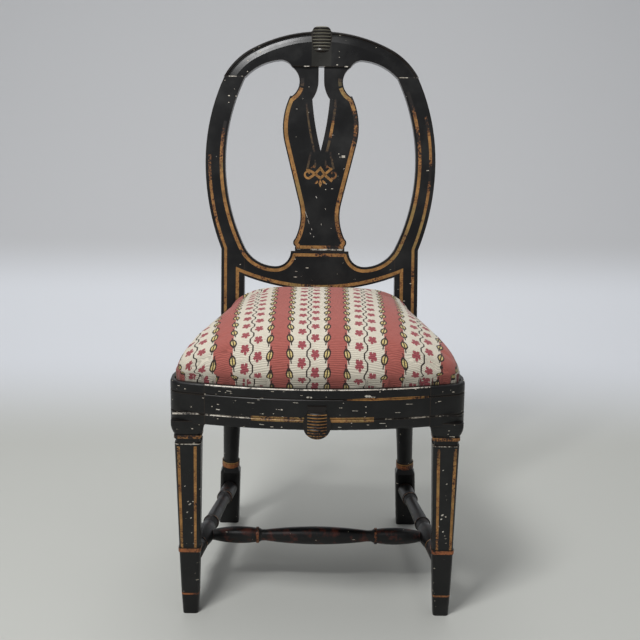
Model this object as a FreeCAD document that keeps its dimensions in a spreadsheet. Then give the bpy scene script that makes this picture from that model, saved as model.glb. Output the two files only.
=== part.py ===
import FreeCAD, Part
import os
from math import atan2, cos, degrees, asin, radians, sin, sqrt, tan

import Sketcher
from FreeCAD import Placement, Rotation, Vector

# Painted side chair with an oval open back and a drop-in seat.
# Millimetres and degrees. X runs to the right as seen from the front, Y to the back, Z up.
# While a piece is drawn, Y is measured from the axis of the front legs and Z from the floor.
# The back above the bend of the rear posts is drawn in its own leaning plane.

DRIVING = {
    # Seat frame
    "seat_height": 405.6,
    "rail_height": 67.9,
    "rail_thickness": 28.0,
    "seat_depth": 331.0,
    "bow_projection": 55.8,
    "bow_radius": 700.0,
    "side_length_start": 27.0,
    "lip_width": 9.0,
    "ledge_depth": 16.0,
    "seat_corner_radius": 24.0,
    "line_groove": 1.4,
    "upper_line_drop": 16.6,
    "lower_line_drop": 50.0,
    "rail_edge_radius": 4.0,
    "rear_rail_inset": 16.0,
    "rear_rail_thickness": 30.0,
    # Tenons
    "tenon_thickness": 10.0,
    "tenon_edge": 6.0,
    "front_tenon_length": 28.0,
    "side_tenon_length": 26.0,
    "rear_tenon_length": 22.0,
    "front_tenon_set": 17.0,
    "side_tenon_front_set": 14.3,
    "side_tenon_rear_set": 11.3,
    "rear_tenon_set": 7.0,
    "tenon_clearance": 0.15,
    # Front legs
    "leg_spacing": 417.2,
    "block_width": 57.4,
    "shaft_width": 42.9,
    "cuff_width": 34.2,
    "foot_width": 25.5,
    "band_width": 29.6,
    "leg_corner_radius": 6.0,
    "ear_drop": 20.8,
    "ear_swell": 11.0,
    "ring_height": 7.0,
    "ring_width": 44.6,
    "neck_height": 7.6,
    "neck_width": 39.0,
    "cuff_height": 119.0,
    "cuff_band": 7.0,
    "cuff_proud": 1.3,
    "band_height": 38.0,
    # Rear posts
    "post_spacing": 316.6,
    "post_width": 42.0,
    "post_depth": 38.0,
    "bend_height": 420.0,
    "back_lean": 11.1,
    "back_thickness": 24.0,
    "post_blend_height": 124.0,
    "post_blend_radius": 900.0,
    "post_block_drop": 6.0,
    "rear_foot_spacing": 342.0,
    "rear_foot_y": 400.0,
    "rear_block_width": 37.0,
    "rear_block_height": 108.0,
    "rear_shoulder": 10.0,
    "rear_collar_height": 13.0,
    "rear_collar_radius": 16.4,
    "rear_shaft_top": 19.0,
    "rear_shaft_foot": 14.2,
    "rear_neck_radius": 14.6,
    # Oval of the back, in the leaning plane
    "oval_height": 287.4,
    "oval_outer": 209.1,
    "oval_inner": 173.5,
    "oval_foot": 128.4,
    "oval_inner_foot": 131.0,
    "crest_joint": 441.0,
    "joint_outer": 175.5,
    "joint_inner": 138.5,
    "crest_proud": 1.2,
    "joint_tenon_width": 17.0,
    "joint_tenon_length": 14.0,
    # Crest rail
    "crest_shoulder_x": 122.8,
    "crest_shoulder_height": 493.2,
    "crest_shoulder_radius": 126.0,
    "crest_top": 523.3,
    "crest_apex_x": 73.4,
    "crest_apex_height": 471.3,
    "crest_inner_radius": 95.0,
    "crest_lobe_radius": 22.0,
    "crest_seam": 460.0,
    # Carved shell on the crest
    "shell_half_width": 17.6,
    "shell_relief": 6.5,
    "shell_back": 11.0,
    "shell_foot": 486.0,
    "shell_height": 46.0,
    "shell_corner": 11.0,
    # Bead and hollow along the crest's top edge
    "crest_bead": 3.6,
    "crest_bead_chamfer": 1.2,
    "crest_hollow_depth": 2.4,
    "crest_hollow_width": 15.0,
    # Lower cross rail of the back
    "cross_rail_foot": 54.4,
    "cross_rail_end": 79.5,
    "scoop_x": 81.0,
    "scoop_height": 97.2,
    "shoe_height": 125.6,
    "cross_tenon_length": 24.0,
    "cross_tenon_edge": 7.0,
    # Splat
    "splat_thickness": 13.0,
    "splat_set_back": 5.0,
    "splat_foot_half": 45.3,
    "splat_bump": 148.0,
    "splat_bump_foot": 134.0,
    "splat_bump_radius": 9.0,
    "waist_half": 35.7,
    "waist_height": 189.5,
    "waist_radius": 95.0,
    "belly_half": 69.1,
    "belly_height": 351.0,
    "flank_angle": 14.0,
    "step_height": 407.0,
    "step_width": 3.4,
    "arm_half": 53.8,
    "arm_radius": 32.2,
    "splat_tenon_length": 12.0,
    "splat_tenon_half": 34.0,
    "arm_tenon_half": 12.0,
    "slit_point": 308.0,
    "slit_half": 15.9,
    "slit_wide_height": 402.0,
    "slit_neck_height": 436.0,
    "slit_neck_half": 5.0,
    "slit_side_radius": 546.0,
    "slit_neck_radius": 58.0,
    # Carved drop on the front rail
    "drop_half_width": 21.9,
    "drop_swell_height": 8.0,
    "drop_overhang": 13.5,
    "drop_waist_half": 13.0,
    "drop_waist_height": 39.0,
    "drop_neck_half": 15.0,
    "drop_neck_height": 46.5,
    "drop_let_in": 3.0,
    "drop_proud": 3.0,
    "drop_boss_half": 16.5,
    "drop_boss_relief": 5.5,
    "drop_rim": 3.5,
    # Turned stretchers
    "stretcher_height_front": 92.5,
    "stretcher_height_rear": 76.0,
    "stretcher_side_set": 3.0,
    "stretcher_radius": 14.0,
    "stretcher_neck_radius": 10.2,
    "stretcher_ring_radius": 12.4,
    "stretcher_ring_width": 5.0,
    "stretcher_ring_proud": 1.6,
    "stretcher_bulb_radius": 17.0,
    "stretcher_tenon_radius": 8.0,
    "stretcher_tenon_length": 12.0,
    "stretcher_gap": 0.3,
    "cross_end_radius": 13.2,
    "cross_end_belly": 14.4,
    "cross_end_foot": 9.6,
    "cross_swell_radius": 15.6,
    "cross_neck_radius": 9.8,
    "cross_tenon_radius": 7.0,
    "cross_tenon_depth": 9.0,
    # Pegs and corner blocks
    "peg_radius": 3.0,
    "peg_clearance": 0.15,
    "peg_spacing": 20.0,
    "peg_end": 4.0,
    "corner_block_height": 40.0,
    "corner_block_reach": 52.0,
    # Drop-in seat
    "seat_clearance": 1.5,
    "seat_play": 0.4,
    "cover_thickness": 2.0,
    "cover_hem": 18.0,
    "cover_gap": 0.4,
    "cushion_crown": 92.5,
    "slip_width": 48.0,
    "slip_thickness": 17.0,
    "cloth": 0.8,
    "web_thickness": 1.4,
    "web_width": 50.0,
    "web_spacing": 70.0,
    "web_end_inset": 10.0,
    "tack_radius": 3.6,
    "tack_head": 1.1,
    "tack_shank_radius": 1.1,
    "tack_shank": 9.0,
    "tack_set": 7.0,
    "tack_clearance": 0.1,
}


class Size(float):
    """A size that carries the sheet formula behind it."""

    def __new__(cls, value, text):
        item = float.__new__(cls, value)
        item.text = text
        return item

    def __add__(self, other):
        return Size(float(self) + float(other), f"({self.text} + {formula(other)})")

    def __radd__(self, other):
        return Size(float(other) + float(self), f"({formula(other)} + {self.text})")

    def __sub__(self, other):
        return Size(float(self) - float(other), f"({self.text} - {formula(other)})")

    def __rsub__(self, other):
        return Size(float(other) - float(self), f"({formula(other)} - {self.text})")

    def __mul__(self, other):
        return Size(float(self) * float(other), f"({self.text} * {formula(other)})")

    def __rmul__(self, other):
        return Size(float(other) * float(self), f"({formula(other)} * {self.text})")

    def __truediv__(self, other):
        return Size(float(self) / float(other), f"({self.text} / {formula(other)})")

    def __rtruediv__(self, other):
        return Size(float(other) / float(self), f"({formula(other)} / {self.text})")

    def __neg__(self):
        return Size(-float(self), f"(-1 * {self.text})")


def formula(number):
    return number.text if isinstance(number, Size) else repr(float(number))


def root(number):
    return Size(sqrt(float(number)), f"sqrt({formula(number)})")


def sine(angle):
    return Size(sin(radians(float(angle))), f"sin({formula(angle)})")


def cosine(angle):
    return Size(cos(radians(float(angle))), f"cos({formula(angle)})")


def tangent(angle):
    return Size(tan(radians(float(angle))), f"tan({formula(angle)})")


doc = FreeCAD.newDocument("side_chair")
sheet = doc.addObject("Spreadsheet::Sheet", "Sizes")
cells = {}


def cell_for(alias):
    cell = f"B{len(cells) + 1}"
    cells[alias] = cell
    sheet.set(cell.replace("B", "A"), alias)
    return cell


def driving(alias, value):
    """A driving dimension, as a plain number in the sheet."""
    cell = cell_for(alias)
    sheet.set(cell, str(value))
    sheet.setAlias(cell, alias)
    return Size(value, f"Sizes.{alias}")


def derived(alias, size):
    """A dimension worked out from others, kept in the sheet as its formula."""
    cell = cell_for(alias)
    sheet.set(cell, "=" + size.text.replace("Sizes.", ""))
    sheet.setAlias(cell, alias)
    return Size(float(size), f"Sizes.{alias}")


class Sizes:
    pass


S = Sizes()
for name, number in DRIVING.items():
    setattr(S, name, driving(name, number))

S.rail_bottom = derived("rail_bottom", S.seat_height - S.rail_height)
S.ledge_height = derived("ledge_height", S.seat_height - S.ledge_depth)
S.leg_x = derived("leg_x", S.leg_spacing / 2)
S.block_inner = derived("block_inner", S.leg_x - S.block_width / 2)
S.block_outer = derived("block_outer", S.leg_x + S.block_width / 2)
S.post_x = derived("post_x", S.post_spacing / 2)
S.post_inner = derived("post_inner", S.post_x - S.post_width / 2)
S.post_outer = derived("post_outer", S.post_x + S.post_width / 2)
S.rear_foot_x = derived("rear_foot_x", S.rear_foot_spacing / 2)
S.bow_centre = derived("bow_centre", S.bow_radius - S.bow_projection)
S.tenon_bottom = derived("tenon_bottom", S.rail_bottom + S.tenon_edge)
S.tenon_top = derived("tenon_top", S.ledge_height - S.tenon_edge)
S.side_run = derived("side_run", S.seat_depth - S.side_length_start)
S.side_narrowing = derived("side_narrowing", S.block_outer - S.post_outer)
S.side_outer_length = derived(
    "side_outer_length",
    root(S.side_run * S.side_run + S.side_narrowing * S.side_narrowing))
S.side_cosine = derived("side_cosine", S.side_run / S.side_outer_length)
S.side_slope = derived("side_slope", S.side_narrowing / S.side_run)
S.lean_cosine = derived("lean_cosine", cosine(S.back_lean))
S.lean_sine = derived("lean_sine", sine(S.back_lean))
S.shell_top = derived("shell_top", S.shell_foot + S.shell_height)
S.front_most = derived(
    "front_most", S.bow_projection + S.drop_proud + S.drop_boss_relief)
S.rear_most = derived(
    "rear_most",
    S.seat_depth + S.crest_top * S.lean_sine + S.back_thickness * S.lean_cosine)
S.centre_y = derived("centre_y", (S.rear_most - S.front_most) / 2)

doc.recompute()


def check_sheet():
    """Each formula in the sheet gives the value that the drawing uses."""
    for alias in cells:
        drawn = float(getattr(S, alias))
        if abs(float(sheet.get(alias)) - drawn) > abs(drawn) / 1e6:
            raise ValueError(f"sheet and drawing differ at {alias}")


check_sheet()


# Drawing helpers

FRONT_PLANE = "XZ_Plane"
PLAN_PLANE = "XY_Plane"
SIDE_PLANE = "YZ_Plane"
ZERO = Size(0.0, "0")


def body_for(label, local=None):
    """A new body, whose own frame lies in the chair and is centred with it."""
    body = doc.addObject("PartDesign::Body", label)
    body.Label = label
    local = local or Placement()
    body.Placement = Placement(Vector(0, -S.centre_y, 0), Rotation()) * local
    if local.Base.Length == 0:
        body.setExpression(".Placement.Base.y", "-1 * Sizes.centre_y")
    body.addProperty("App::PropertyPlacement", "Local")
    body.Local = local
    return body


def origin_plane(body, role):
    return next(item for item in body.Origin.OriginFeatures if item.Role == role)


def sketch_on(body, role, offset=None, height=None):
    """A sketch on one of the body's own planes, raised along its normal or set at an offset."""
    sketch = body.newObject("Sketcher::SketchObject", f"{body.Label}_outline")
    sketch.AttachmentSupport = [(origin_plane(body, role), "")]
    sketch.MapMode = "FlatFace"
    if offset is not None:
        sketch.AttachmentOffset = offset
    if height is not None:
        sketch.AttachmentOffset = Placement(Vector(0, 0, float(height)), Rotation())
        sketch.setExpression("AttachmentOffset.Base.z", formula(height))
    return sketch


def tie(sketch, geometry, end, point):
    """Tie one end of a line or an arc to its formulas."""
    for kind, axis, value in (("DistanceX", -2, point[0]), ("DistanceY", -1, point[1])):
        if abs(float(value)) < 1e-9:
            sketch.addConstraint(Sketcher.Constraint("PointOnObject", geometry, end, axis))
            continue
        index = sketch.addConstraint(
            Sketcher.Constraint(kind, -1, 1, geometry, end, float(value)))
        if isinstance(value, Size):
            sketch.setExpression(f"Constraints[{index}]", value.text)


def arc_through(start, stop, radius, side):
    """The arc of the given radius that bulges to the left (1) or right (-1) of its travel."""
    chord = stop - start
    half = chord.Length / 2
    rise = sqrt(max(float(radius) ** 2 - half ** 2, 0.0))
    left = Vector(-chord.y, chord.x, 0) / chord.Length
    centre = (start + stop) / 2 - left * rise * side
    return Part.Arc(start, centre + left * float(radius) * side, stop)


def draw(sketch, path, side=1):
    """A closed outline. Each step is (x, y) for a line to it, or (x, y, radius, bulge)."""
    points = [Vector(float(step[0]) * side, float(step[1]), 0) for step in path]
    for index, step in enumerate(path):
        start, stop = points[index - 1], points[index]
        if len(step) == 2:
            geometry = sketch.addGeometry(Part.LineSegment(start, stop), False)
            end = 2
        else:
            arc = arc_through(start, stop, step[2], step[3] * side)
            geometry = sketch.addGeometry(arc, False)
            gaps = [(sketch.getPoint(geometry, place) - stop).Length for place in (1, 2)]
            end = 2 if gaps[1] < gaps[0] else 1
            made = sketch.addConstraint(
                Sketcher.Constraint("Radius", geometry, float(step[2])))
            if isinstance(step[2], Size):
                sketch.setExpression(f"Constraints[{made}]", step[2].text)
        tie(sketch, geometry, end, (step[0] * side, step[1]))
        if index:
            sketch.addConstraint(
                Sketcher.Constraint("Coincident", geometry, 3 - end, last, last_end))
        else:
            first, first_end = geometry, 3 - end
        last, last_end = geometry, end
    sketch.addConstraint(Sketcher.Constraint("Coincident", first, first_end, last, last_end))
    return sketch


def circle(sketch, x, y, radius):
    """A circle tied to its centre and radius."""
    place = Vector(float(x), float(y), 0)
    geometry = sketch.addGeometry(Part.Circle(place, Vector(0, 0, 1), float(radius)), False)
    tie(sketch, geometry, 3, (x, y))
    index = sketch.addConstraint(Sketcher.Constraint("Radius", geometry, float(radius)))
    sketch.setExpression(f"Constraints[{index}]", formula(radius))
    return sketch


def box_path(x0, y0, x1, y1):
    return [(x1, y0), (x1, y1), (x0, y1), (x0, y0)]


def rounded_square(x, y, width, corner):
    """A square with rounded corners, round the point x, y."""
    half = width / 2
    flat = half - corner
    return [
        (x + flat, y - half),
        (x + half, y - flat, corner, -1),
        (x + half, y + flat),
        (x + flat, y + half, corner, -1),
        (x - flat, y + half),
        (x - half, y + flat, corner, -1),
        (x - half, y - flat),
        (x - flat, y - half, corner, -1),
    ]


def pad(body, sketch, length, reverse=False, both=False):
    feature = body.newObject("PartDesign::Pad", f"{body.Label}_pad")
    feature.Profile = sketch
    feature.SideType = "Symmetric" if both else "One side"
    feature.Length = float(length)
    feature.setExpression("Length", formula(length))
    feature.Reversed = reverse
    return feature


def pocket(body, sketch, length=None, reverse=False, both=False):
    """Cut an outline to a depth, or right through when no depth is given."""
    doc.recompute()
    before = body.Shape.Volume
    feature = body.newObject("PartDesign::Pocket", f"{body.Label}_cut")
    feature.Profile = sketch
    feature.SideType = "Symmetric" if both else "One side"
    feature.Reversed = reverse
    if length is None:
        feature.Type = "ThroughAll"
    else:
        feature.Length = float(length)
        feature.setExpression("Length", formula(length))
    doc.recompute()
    if not body.Shape.Volume < before:
        raise ValueError(f"a cut in {body.Label} takes nothing away")
    return feature


def revolve(body, sketch, axis="H_Axis", angle=None):
    """Turn a profile about an axis of its own sketch."""
    feature = body.newObject("PartDesign::Revolution", f"{body.Label}_turned")
    feature.Profile = sketch
    feature.ReferenceAxis = (sketch, [axis])
    feature.Angle = 360 if angle is None else float(angle)
    feature.Midplane = angle is not None
    return feature


def loft(body, sections):
    """Blend rounded squares (height, x, y, width, corner) from the lowest to the highest."""
    sketches = []
    for height, x, y, width, corner in sections:
        sketch = sketch_on(body, PLAN_PLANE, height=height)
        draw(sketch, rounded_square(x, y, width, corner))
        sketches.append(sketch)
    feature = body.newObject("PartDesign::AdditiveLoft", f"{body.Label}_loft")
    feature.Profile = sketches[0]
    feature.Sections = sketches[1:]
    feature.Ruled = True
    return feature


def chair_sketch(body, height):
    """A plan sketch in the chair's own coordinates, whatever the body's frame."""
    raised = Placement(Vector(0, 0, float(height)), Rotation())
    return sketch_on(body, PLAN_PLANE, offset=body.Local.inverse() * raised)


def hole(body, start, direction, radius, depth):
    """A round hole from a point in the chair, along a direction."""
    place = Placement(start, Rotation(Vector(0, 0, -1), direction))
    sketch = sketch_on(body, PLAN_PLANE, offset=body.Local.inverse() * place)
    circle(sketch, ZERO, ZERO, radius)
    return pocket(body, sketch, depth)


def lean_point(y, up):
    """A point of the leaning back in the chair's side view."""
    return (S.seat_depth + up * S.lean_sine + y * S.lean_cosine,
            S.bend_height + up * S.lean_cosine - y * S.lean_sine)


LEANING = Placement(Vector(0, S.seat_depth, S.bend_height),
                    Rotation(Vector(1, 0, 0), -float(S.back_lean)))


# Plan of the seat

CORNER_FRONT_SHARE = 0.75
CORNER_SIDE_SHARE = 0.95


def bow_y(x, inset=0.0):
    """Y of the front rail's face, or of a line inside it, at a given X."""
    reach = S.bow_radius - inset
    return S.bow_centre - root(reach * reach - x * x)


def side_x(y, inset=0.0):
    """X of the right side rail's outer face, or of a line inside it, at a given Y."""
    return S.block_outer - (y - S.side_length_start) * S.side_slope - inset / S.side_cosine


def seat_plan(inset, rear, corner, share=1.0):
    """The seat's outline: bowed front, rounded corners, straight tapering sides and back."""
    far_x = side_x(bow_y(S.leg_x, inset) + corner / 2, inset)
    front_x = far_x - corner * CORNER_FRONT_SHARE
    corner_y = bow_y(front_x, inset) + corner * CORNER_SIDE_SHARE
    rear_x = side_x(rear, inset)
    small = S.seat_corner_radius / 3
    middle = S.seat_depth / 2

    def step(x, y, *arc):
        moved = [(x * share), (middle + (y - middle) * share)]
        if arc:
            moved += [arc[0] * share, arc[1]]
        return tuple(moved)

    return [
        step(front_x, bow_y(front_x, inset), S.bow_radius - inset, -1),
        step(side_x(corner_y, inset), corner_y, corner, -1),
        step(side_x(rear - small, inset), rear - small),
        step(rear_x - small, rear, small, -1),
        step(-rear_x + small, rear),
        step(-side_x(rear - small, inset), rear - small, small, -1),
        step(-side_x(corner_y, inset), corner_y),
        step(-front_x, bow_y(front_x, inset), corner, -1),
    ]


def cut_well(body):
    """The rebate that the drop-in seat lies in."""
    sketch = chair_sketch(body, S.seat_height)
    draw(sketch, seat_plan(S.lip_width, S.seat_depth, S.seat_corner_radius))
    return pocket(body, sketch, S.ledge_depth)


# Seat frame

def rail_section(outward):
    """Half of a rail's section, from its face inwards: moulded edges and two sunk lines."""
    edge = S.rail_edge_radius
    groove = S.line_groove
    upper = S.seat_height - S.upper_line_drop
    lower = S.seat_height - S.lower_line_drop
    inner = outward - S.rail_thickness
    return [
        (outward, S.rail_bottom + edge, edge, -1),
        (outward, lower - groove),
        (outward - groove, lower),
        (outward, lower + groove),
        (outward, upper - groove),
        (outward - groove, upper),
        (outward, upper + groove),
        (outward, S.seat_height - edge),
        (outward - edge, S.seat_height, edge, -1),
        (inner, S.seat_height),
        (inner, S.rail_bottom),
        (outward - edge, S.rail_bottom),
    ]


def make_front_rail():
    """Bowed rail turned about the centre of its bow, cut square at the leg blocks."""
    body = body_for("front_rail", Placement(Vector(0, S.bow_centre, 0), Rotation()))
    sketch = sketch_on(body, SIDE_PLANE)
    section = [(-x, z, *([arc[0], -arc[1]] if arc else []))
               for x, z, *arc in rail_section(S.bow_radius)]
    draw(sketch, section)
    half_angle = degrees(asin(float(S.block_inner / (S.bow_radius - S.rail_thickness))))
    revolve(body, sketch, "V_Axis", angle=2 * half_angle)
    waste = chair_sketch(body, 0)
    reach = S.block_width
    draw(waste, box_path(S.block_inner, -S.bow_projection - reach,
                         S.block_inner + reach, reach))
    pocket(body, waste, S.seat_height, reverse=True)
    other = chair_sketch(body, 0)
    draw(other, box_path(-S.block_inner - reach, -S.bow_projection - reach,
                         -S.block_inner, reach))
    pocket(body, other, S.seat_height, reverse=True)
    cut_well(body)
    for side in (-1, 1):
        tenon = chair_sketch(body, S.tenon_bottom)
        draw(tenon, box_path(S.block_inner, -S.front_tenon_set - S.tenon_thickness / 2,
                             S.block_inner + S.front_tenon_length,
                             -S.front_tenon_set + S.tenon_thickness / 2), side)
        pad(body, tenon, S.tenon_top - S.tenon_bottom)
        drill_pegs(body, "front", side)
    housing = chair_front(body, drop_back_y())
    draw(housing, drop_outline())
    pocket(body, housing, S.drop_let_in + S.drop_proud, reverse=True)
    return body


def chair_front(body, y):
    """A front-view sketch in the chair's coordinates, whose normal points forwards."""
    place = Placement(Vector(0, float(y), 0), Rotation(Vector(1, 0, 0), 90))
    return sketch_on(body, PLAN_PLANE, offset=body.Local.inverse() * place)


def drop_back_y():
    return S.drop_let_in - S.bow_projection


def drop_outline():
    """Front view of the drop: a short neck that flares into a round-bottomed bud."""
    foot = S.rail_bottom - S.drop_overhang
    swell = foot + S.drop_half_width
    return [
        (S.drop_half_width, swell, S.drop_half_width, -1),
        (S.drop_half_width, swell + S.drop_swell_height),
        (S.drop_waist_half, foot + S.drop_waist_height + S.drop_swell_height),
        (S.drop_neck_half, foot + S.drop_neck_height + S.drop_swell_height),
        (-S.drop_neck_half, foot + S.drop_neck_height + S.drop_swell_height),
        (-S.drop_waist_half, foot + S.drop_waist_height + S.drop_swell_height),
        (-S.drop_half_width, swell + S.drop_swell_height),
        (-S.drop_half_width, swell),
        (ZERO, foot, S.drop_half_width, -1),
    ]


def ribbed_profile(foot, height, turned, shares):
    """Half section of a turned boss whose edge is a stack of chamfered ribs."""
    rib = height / len(shares)
    path = [(ZERO, foot)]
    for count, share in enumerate(shares):
        crest = turned * share
        valley = crest - rib * RIB_DEPTH_SHARE
        start = foot + rib * count
        path += [(valley, start), (crest, start + rib * (1 - RIB_TOP_SHARE) / 2),
                 (crest, start + rib * (1 + RIB_TOP_SHARE) / 2)]
    path += [(valley, foot + height), (ZERO, foot + height)]
    return path


RIB_DEPTH_SHARE = 0.3
RIB_TOP_SHARE = 0.4
DROP_RIB_SHARES = (0.90, 0.96, 0.99, 1.0, 0.985, 0.965, 0.945, 0.93)
SHELL_RIB_SHARES = (0.90, 0.95, 0.98, 1.0, 1.0, 0.98, 0.95, 0.90)


def turned_radius(half, relief):
    """Radius of a boss that is half wide where it leaves its ground and stands out relief."""
    return (half * half / relief + relief) / 2


def make_front_rail_drop():
    """Ribbed bud on a flat back that is let into the rail and hangs below it."""
    body = body_for("front_rail_drop")
    foot = S.rail_bottom - S.drop_overhang
    turned = turned_radius(S.drop_boss_half, S.drop_boss_relief)
    face = -S.bow_projection - S.drop_proud
    boss = chair_front(body, face + turned - S.drop_boss_relief)
    height = S.drop_waist_height + S.drop_swell_height - S.drop_rim * 2
    draw(boss, ribbed_profile(foot + S.drop_rim, height, turned, DROP_RIB_SHARES))
    revolve(body, boss, "V_Axis")
    waste = chair_front(body, face)
    draw(waste, box_path(-turned * 2, foot, turned * 2, foot + height * 2))
    pocket(body, waste, turned * 3)
    back = chair_front(body, drop_back_y())
    draw(back, drop_outline())
    pad(body, back, S.drop_let_in + S.drop_proud)
    return body


def side_frame(side):
    """The frame of a side rail: Y runs back along its outer face."""
    angle = degrees(asin(float(S.side_narrowing / S.side_outer_length)))
    return Placement(Vector(side * S.block_outer, S.side_length_start, 0),
                     Rotation(Vector(0, 0, 1), side * angle))


def make_side_rail(name, side):
    """Tapering seat's side: a moulded rail cut off parallel with the leg block and the post."""
    body = body_for(f"side_rail_{name}", side_frame(side))
    section = sketch_on(body, FRONT_PLANE, height=S.rail_thickness / 2)
    draw(section, rail_section(ZERO), side)
    pad(body, section, S.side_outer_length + S.rail_thickness, reverse=True)
    reach = S.block_width
    for low, high in ((S.side_length_start - reach, S.side_length_start),
                      (S.seat_depth, S.seat_depth + reach)):
        waste = chair_sketch(body, 0)
        draw(waste, box_path(S.post_inner - reach, low, S.block_outer + reach, high), side)
        pocket(body, waste, S.seat_height, reverse=True)
    cut_well(body)
    front_x = S.block_outer - S.side_tenon_front_set
    rear_x = S.post_outer - S.side_tenon_rear_set
    half = S.tenon_thickness / 2
    for x, low, high in ((front_x, S.side_length_start - S.side_tenon_length,
                          S.side_length_start),
                         (rear_x, S.seat_depth, S.seat_depth + S.side_tenon_length)):
        tenon = chair_sketch(body, S.tenon_bottom)
        draw(tenon, box_path(x - half, low, x + half, high), side)
        pad(body, tenon, S.tenon_top - S.tenon_bottom)
    drill_pegs(body, "side_front", side)
    drill_pegs(body, "side_rear", side)
    return body


def make_rear_rail():
    """Straight rail between the posts, set forward to carry the seat's rear edge."""
    body = body_for("rear_rail")
    front = S.seat_depth - S.rear_rail_inset
    plan = sketch_on(body, PLAN_PLANE, height=S.rail_bottom)
    draw(plan, box_path(-S.post_inner, front, S.post_inner, front + S.rear_rail_thickness))
    pad(body, plan, S.rail_height)
    cut_well(body)
    centre = S.seat_depth + S.rear_tenon_set
    half = S.tenon_thickness / 2
    reach = S.post_inner + S.rear_tenon_length
    tenon = sketch_on(body, PLAN_PLANE, height=S.tenon_bottom)
    draw(tenon, box_path(-reach, centre - half, reach, centre + half))
    pad(body, tenon, S.tenon_top - S.tenon_bottom)
    for side in (-1, 1):
        drill_pegs(body, "rear", side)
    return body


def mortise(body, x0, y0, x1, y1, side):
    """A slot for a rail tenon, a clearance wider and longer all round."""
    gap = S.tenon_clearance
    sketch = chair_sketch(body, S.tenon_top + gap)
    draw(sketch, box_path(x0, y0, x1, y1), side)
    return pocket(body, sketch, S.tenon_top - S.tenon_bottom + gap * 2)


def corner_block_points(front):
    """Plan of a corner block that fits against the rails and the leg block or post."""
    reach = S.corner_block_reach
    if front:
        inner = S.rail_thickness
        low_x = S.block_inner - reach
        low_y = bow_y(low_x, inner)
        back = S.side_length_start
        return [
            (low_x, low_y),
            (S.block_inner, bow_y(S.block_inner, inner)),
            (S.block_inner, back),
            (side_x(back, inner), back),
            (side_x(back + reach, inner), back + reach),
        ]
    front_y = S.seat_depth - S.rear_rail_inset
    return [
        (side_x(front_y - reach, S.rail_thickness), front_y - reach),
        (side_x(S.seat_depth, S.rail_thickness), S.seat_depth),
        (S.post_inner, S.seat_depth),
        (S.post_inner, front_y),
        (S.post_inner - reach, front_y),
    ]


def make_corner_block(name, side, front):
    body = body_for(name)
    sketch = sketch_on(body, PLAN_PLANE, height=S.ledge_height - S.corner_block_height)
    draw(sketch, corner_block_points(front), side)
    pad(body, sketch, S.corner_block_height)
    return body


# Front legs

BLOCK_CORNER_SHARE = 0.7


def stretcher_ends(side):
    """Where the axis of a side stretcher meets the faces of the front and rear legs."""
    front_y = shaft_half(S.stretcher_height_front)
    rear = rear_leg_axis(S.stretcher_height_rear)
    start = Vector(side * (S.leg_x - S.stretcher_side_set), front_y,
                   S.stretcher_height_front)
    stop = Vector(side * rear[0], rear[1] - S.rear_block_width / 2,
                  S.stretcher_height_rear)
    return start, stop


def shaft_half(height):
    """Half the width of the front leg's foot at a height between the band and the cuff."""
    rise = (height - S.band_height) / (S.cuff_height - S.cuff_band - S.band_height)
    return (S.band_width + (S.cuff_width - S.band_width) * rise) / 2


EAR_STEPS = ((0.22, 0.2), (0.5, 0.58), (0.8, 0.8))


def make_front_leg(name, side):
    """Corner block, eared swell, gilt ring, neck, tapered shaft, cuff and foot in one piece."""
    body = body_for(f"front_leg_{name}")
    x = S.leg_x * side
    corner = S.leg_corner_radius
    ring_top = S.rail_bottom - S.ear_drop
    ring_foot = ring_top - S.ring_height
    shaft_top = ring_foot - S.neck_height
    cuff_foot = S.cuff_height - S.cuff_band
    cuff_width = S.cuff_width + S.cuff_proud * 2
    loft(body, [(ZERO, x, ZERO, S.foot_width, corner),
                (S.band_height, x, ZERO, S.band_width, corner)])
    loft(body, [(S.band_height, x, ZERO, S.band_width, corner),
                (cuff_foot, x, ZERO, S.cuff_width, corner)])
    loft(body, [(cuff_foot, x, ZERO, cuff_width, corner),
                (S.cuff_height, x, ZERO, cuff_width, corner)])
    loft(body, [(S.cuff_height, x, ZERO, S.cuff_width, corner),
                (shaft_top, x, ZERO, S.shaft_width, corner)])
    loft(body, [(shaft_top, x, ZERO, S.neck_width, corner),
                (ring_foot, x, ZERO, S.neck_width, corner)])
    swell = S.ring_width - S.cuff_proud * 2
    loft(body, [(ring_foot, x, ZERO, S.ring_width - S.cuff_proud, corner),
                (ring_foot + S.ring_height / 2, x, ZERO, S.ring_width, corner)])
    loft(body, [(ring_foot + S.ring_height / 2, x, ZERO, S.ring_width, corner),
                (ring_top, x, ZERO, swell, corner)])
    loft(body, [(ring_top, x, ZERO, swell, corner)]
         + [(ring_top + S.ear_drop * rise, x, ZERO, S.ring_width + S.ear_swell * out, corner)
            for rise, out in EAR_STEPS]
         + [(S.rail_bottom + S.rail_edge_radius, x, ZERO, S.block_width - S.cuff_proud * 3,
             corner)])
    block = sketch_on(body, PLAN_PLANE, height=S.rail_bottom)
    draw(block, leg_block_plan(), side)
    pad(body, block, S.rail_height)
    round_block_edges(body, side)
    cut_block_grooves(body, side)
    cut_well(body)
    gap = S.tenon_clearance
    half = S.tenon_thickness / 2 + gap
    mortise(body, S.block_inner - gap, -S.front_tenon_set - half,
            S.block_inner + S.front_tenon_length + gap, -S.front_tenon_set + half, side)
    tenon_x = S.block_outer - S.side_tenon_front_set
    mortise(body, tenon_x - half, S.side_length_start - S.side_tenon_length - gap,
            tenon_x + half, S.side_length_start + gap, side)
    start, stop = stretcher_ends(side)
    outward = (stop - start).normalize()
    hole(body, start + outward * float(S.shaft_width), outward * -1,
         S.stretcher_tenon_radius + gap,
         S.shaft_width + S.stretcher_tenon_length + gap)
    drill_pegs(body, "front", side)
    drill_pegs(body, "side_front", side)
    return body


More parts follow.
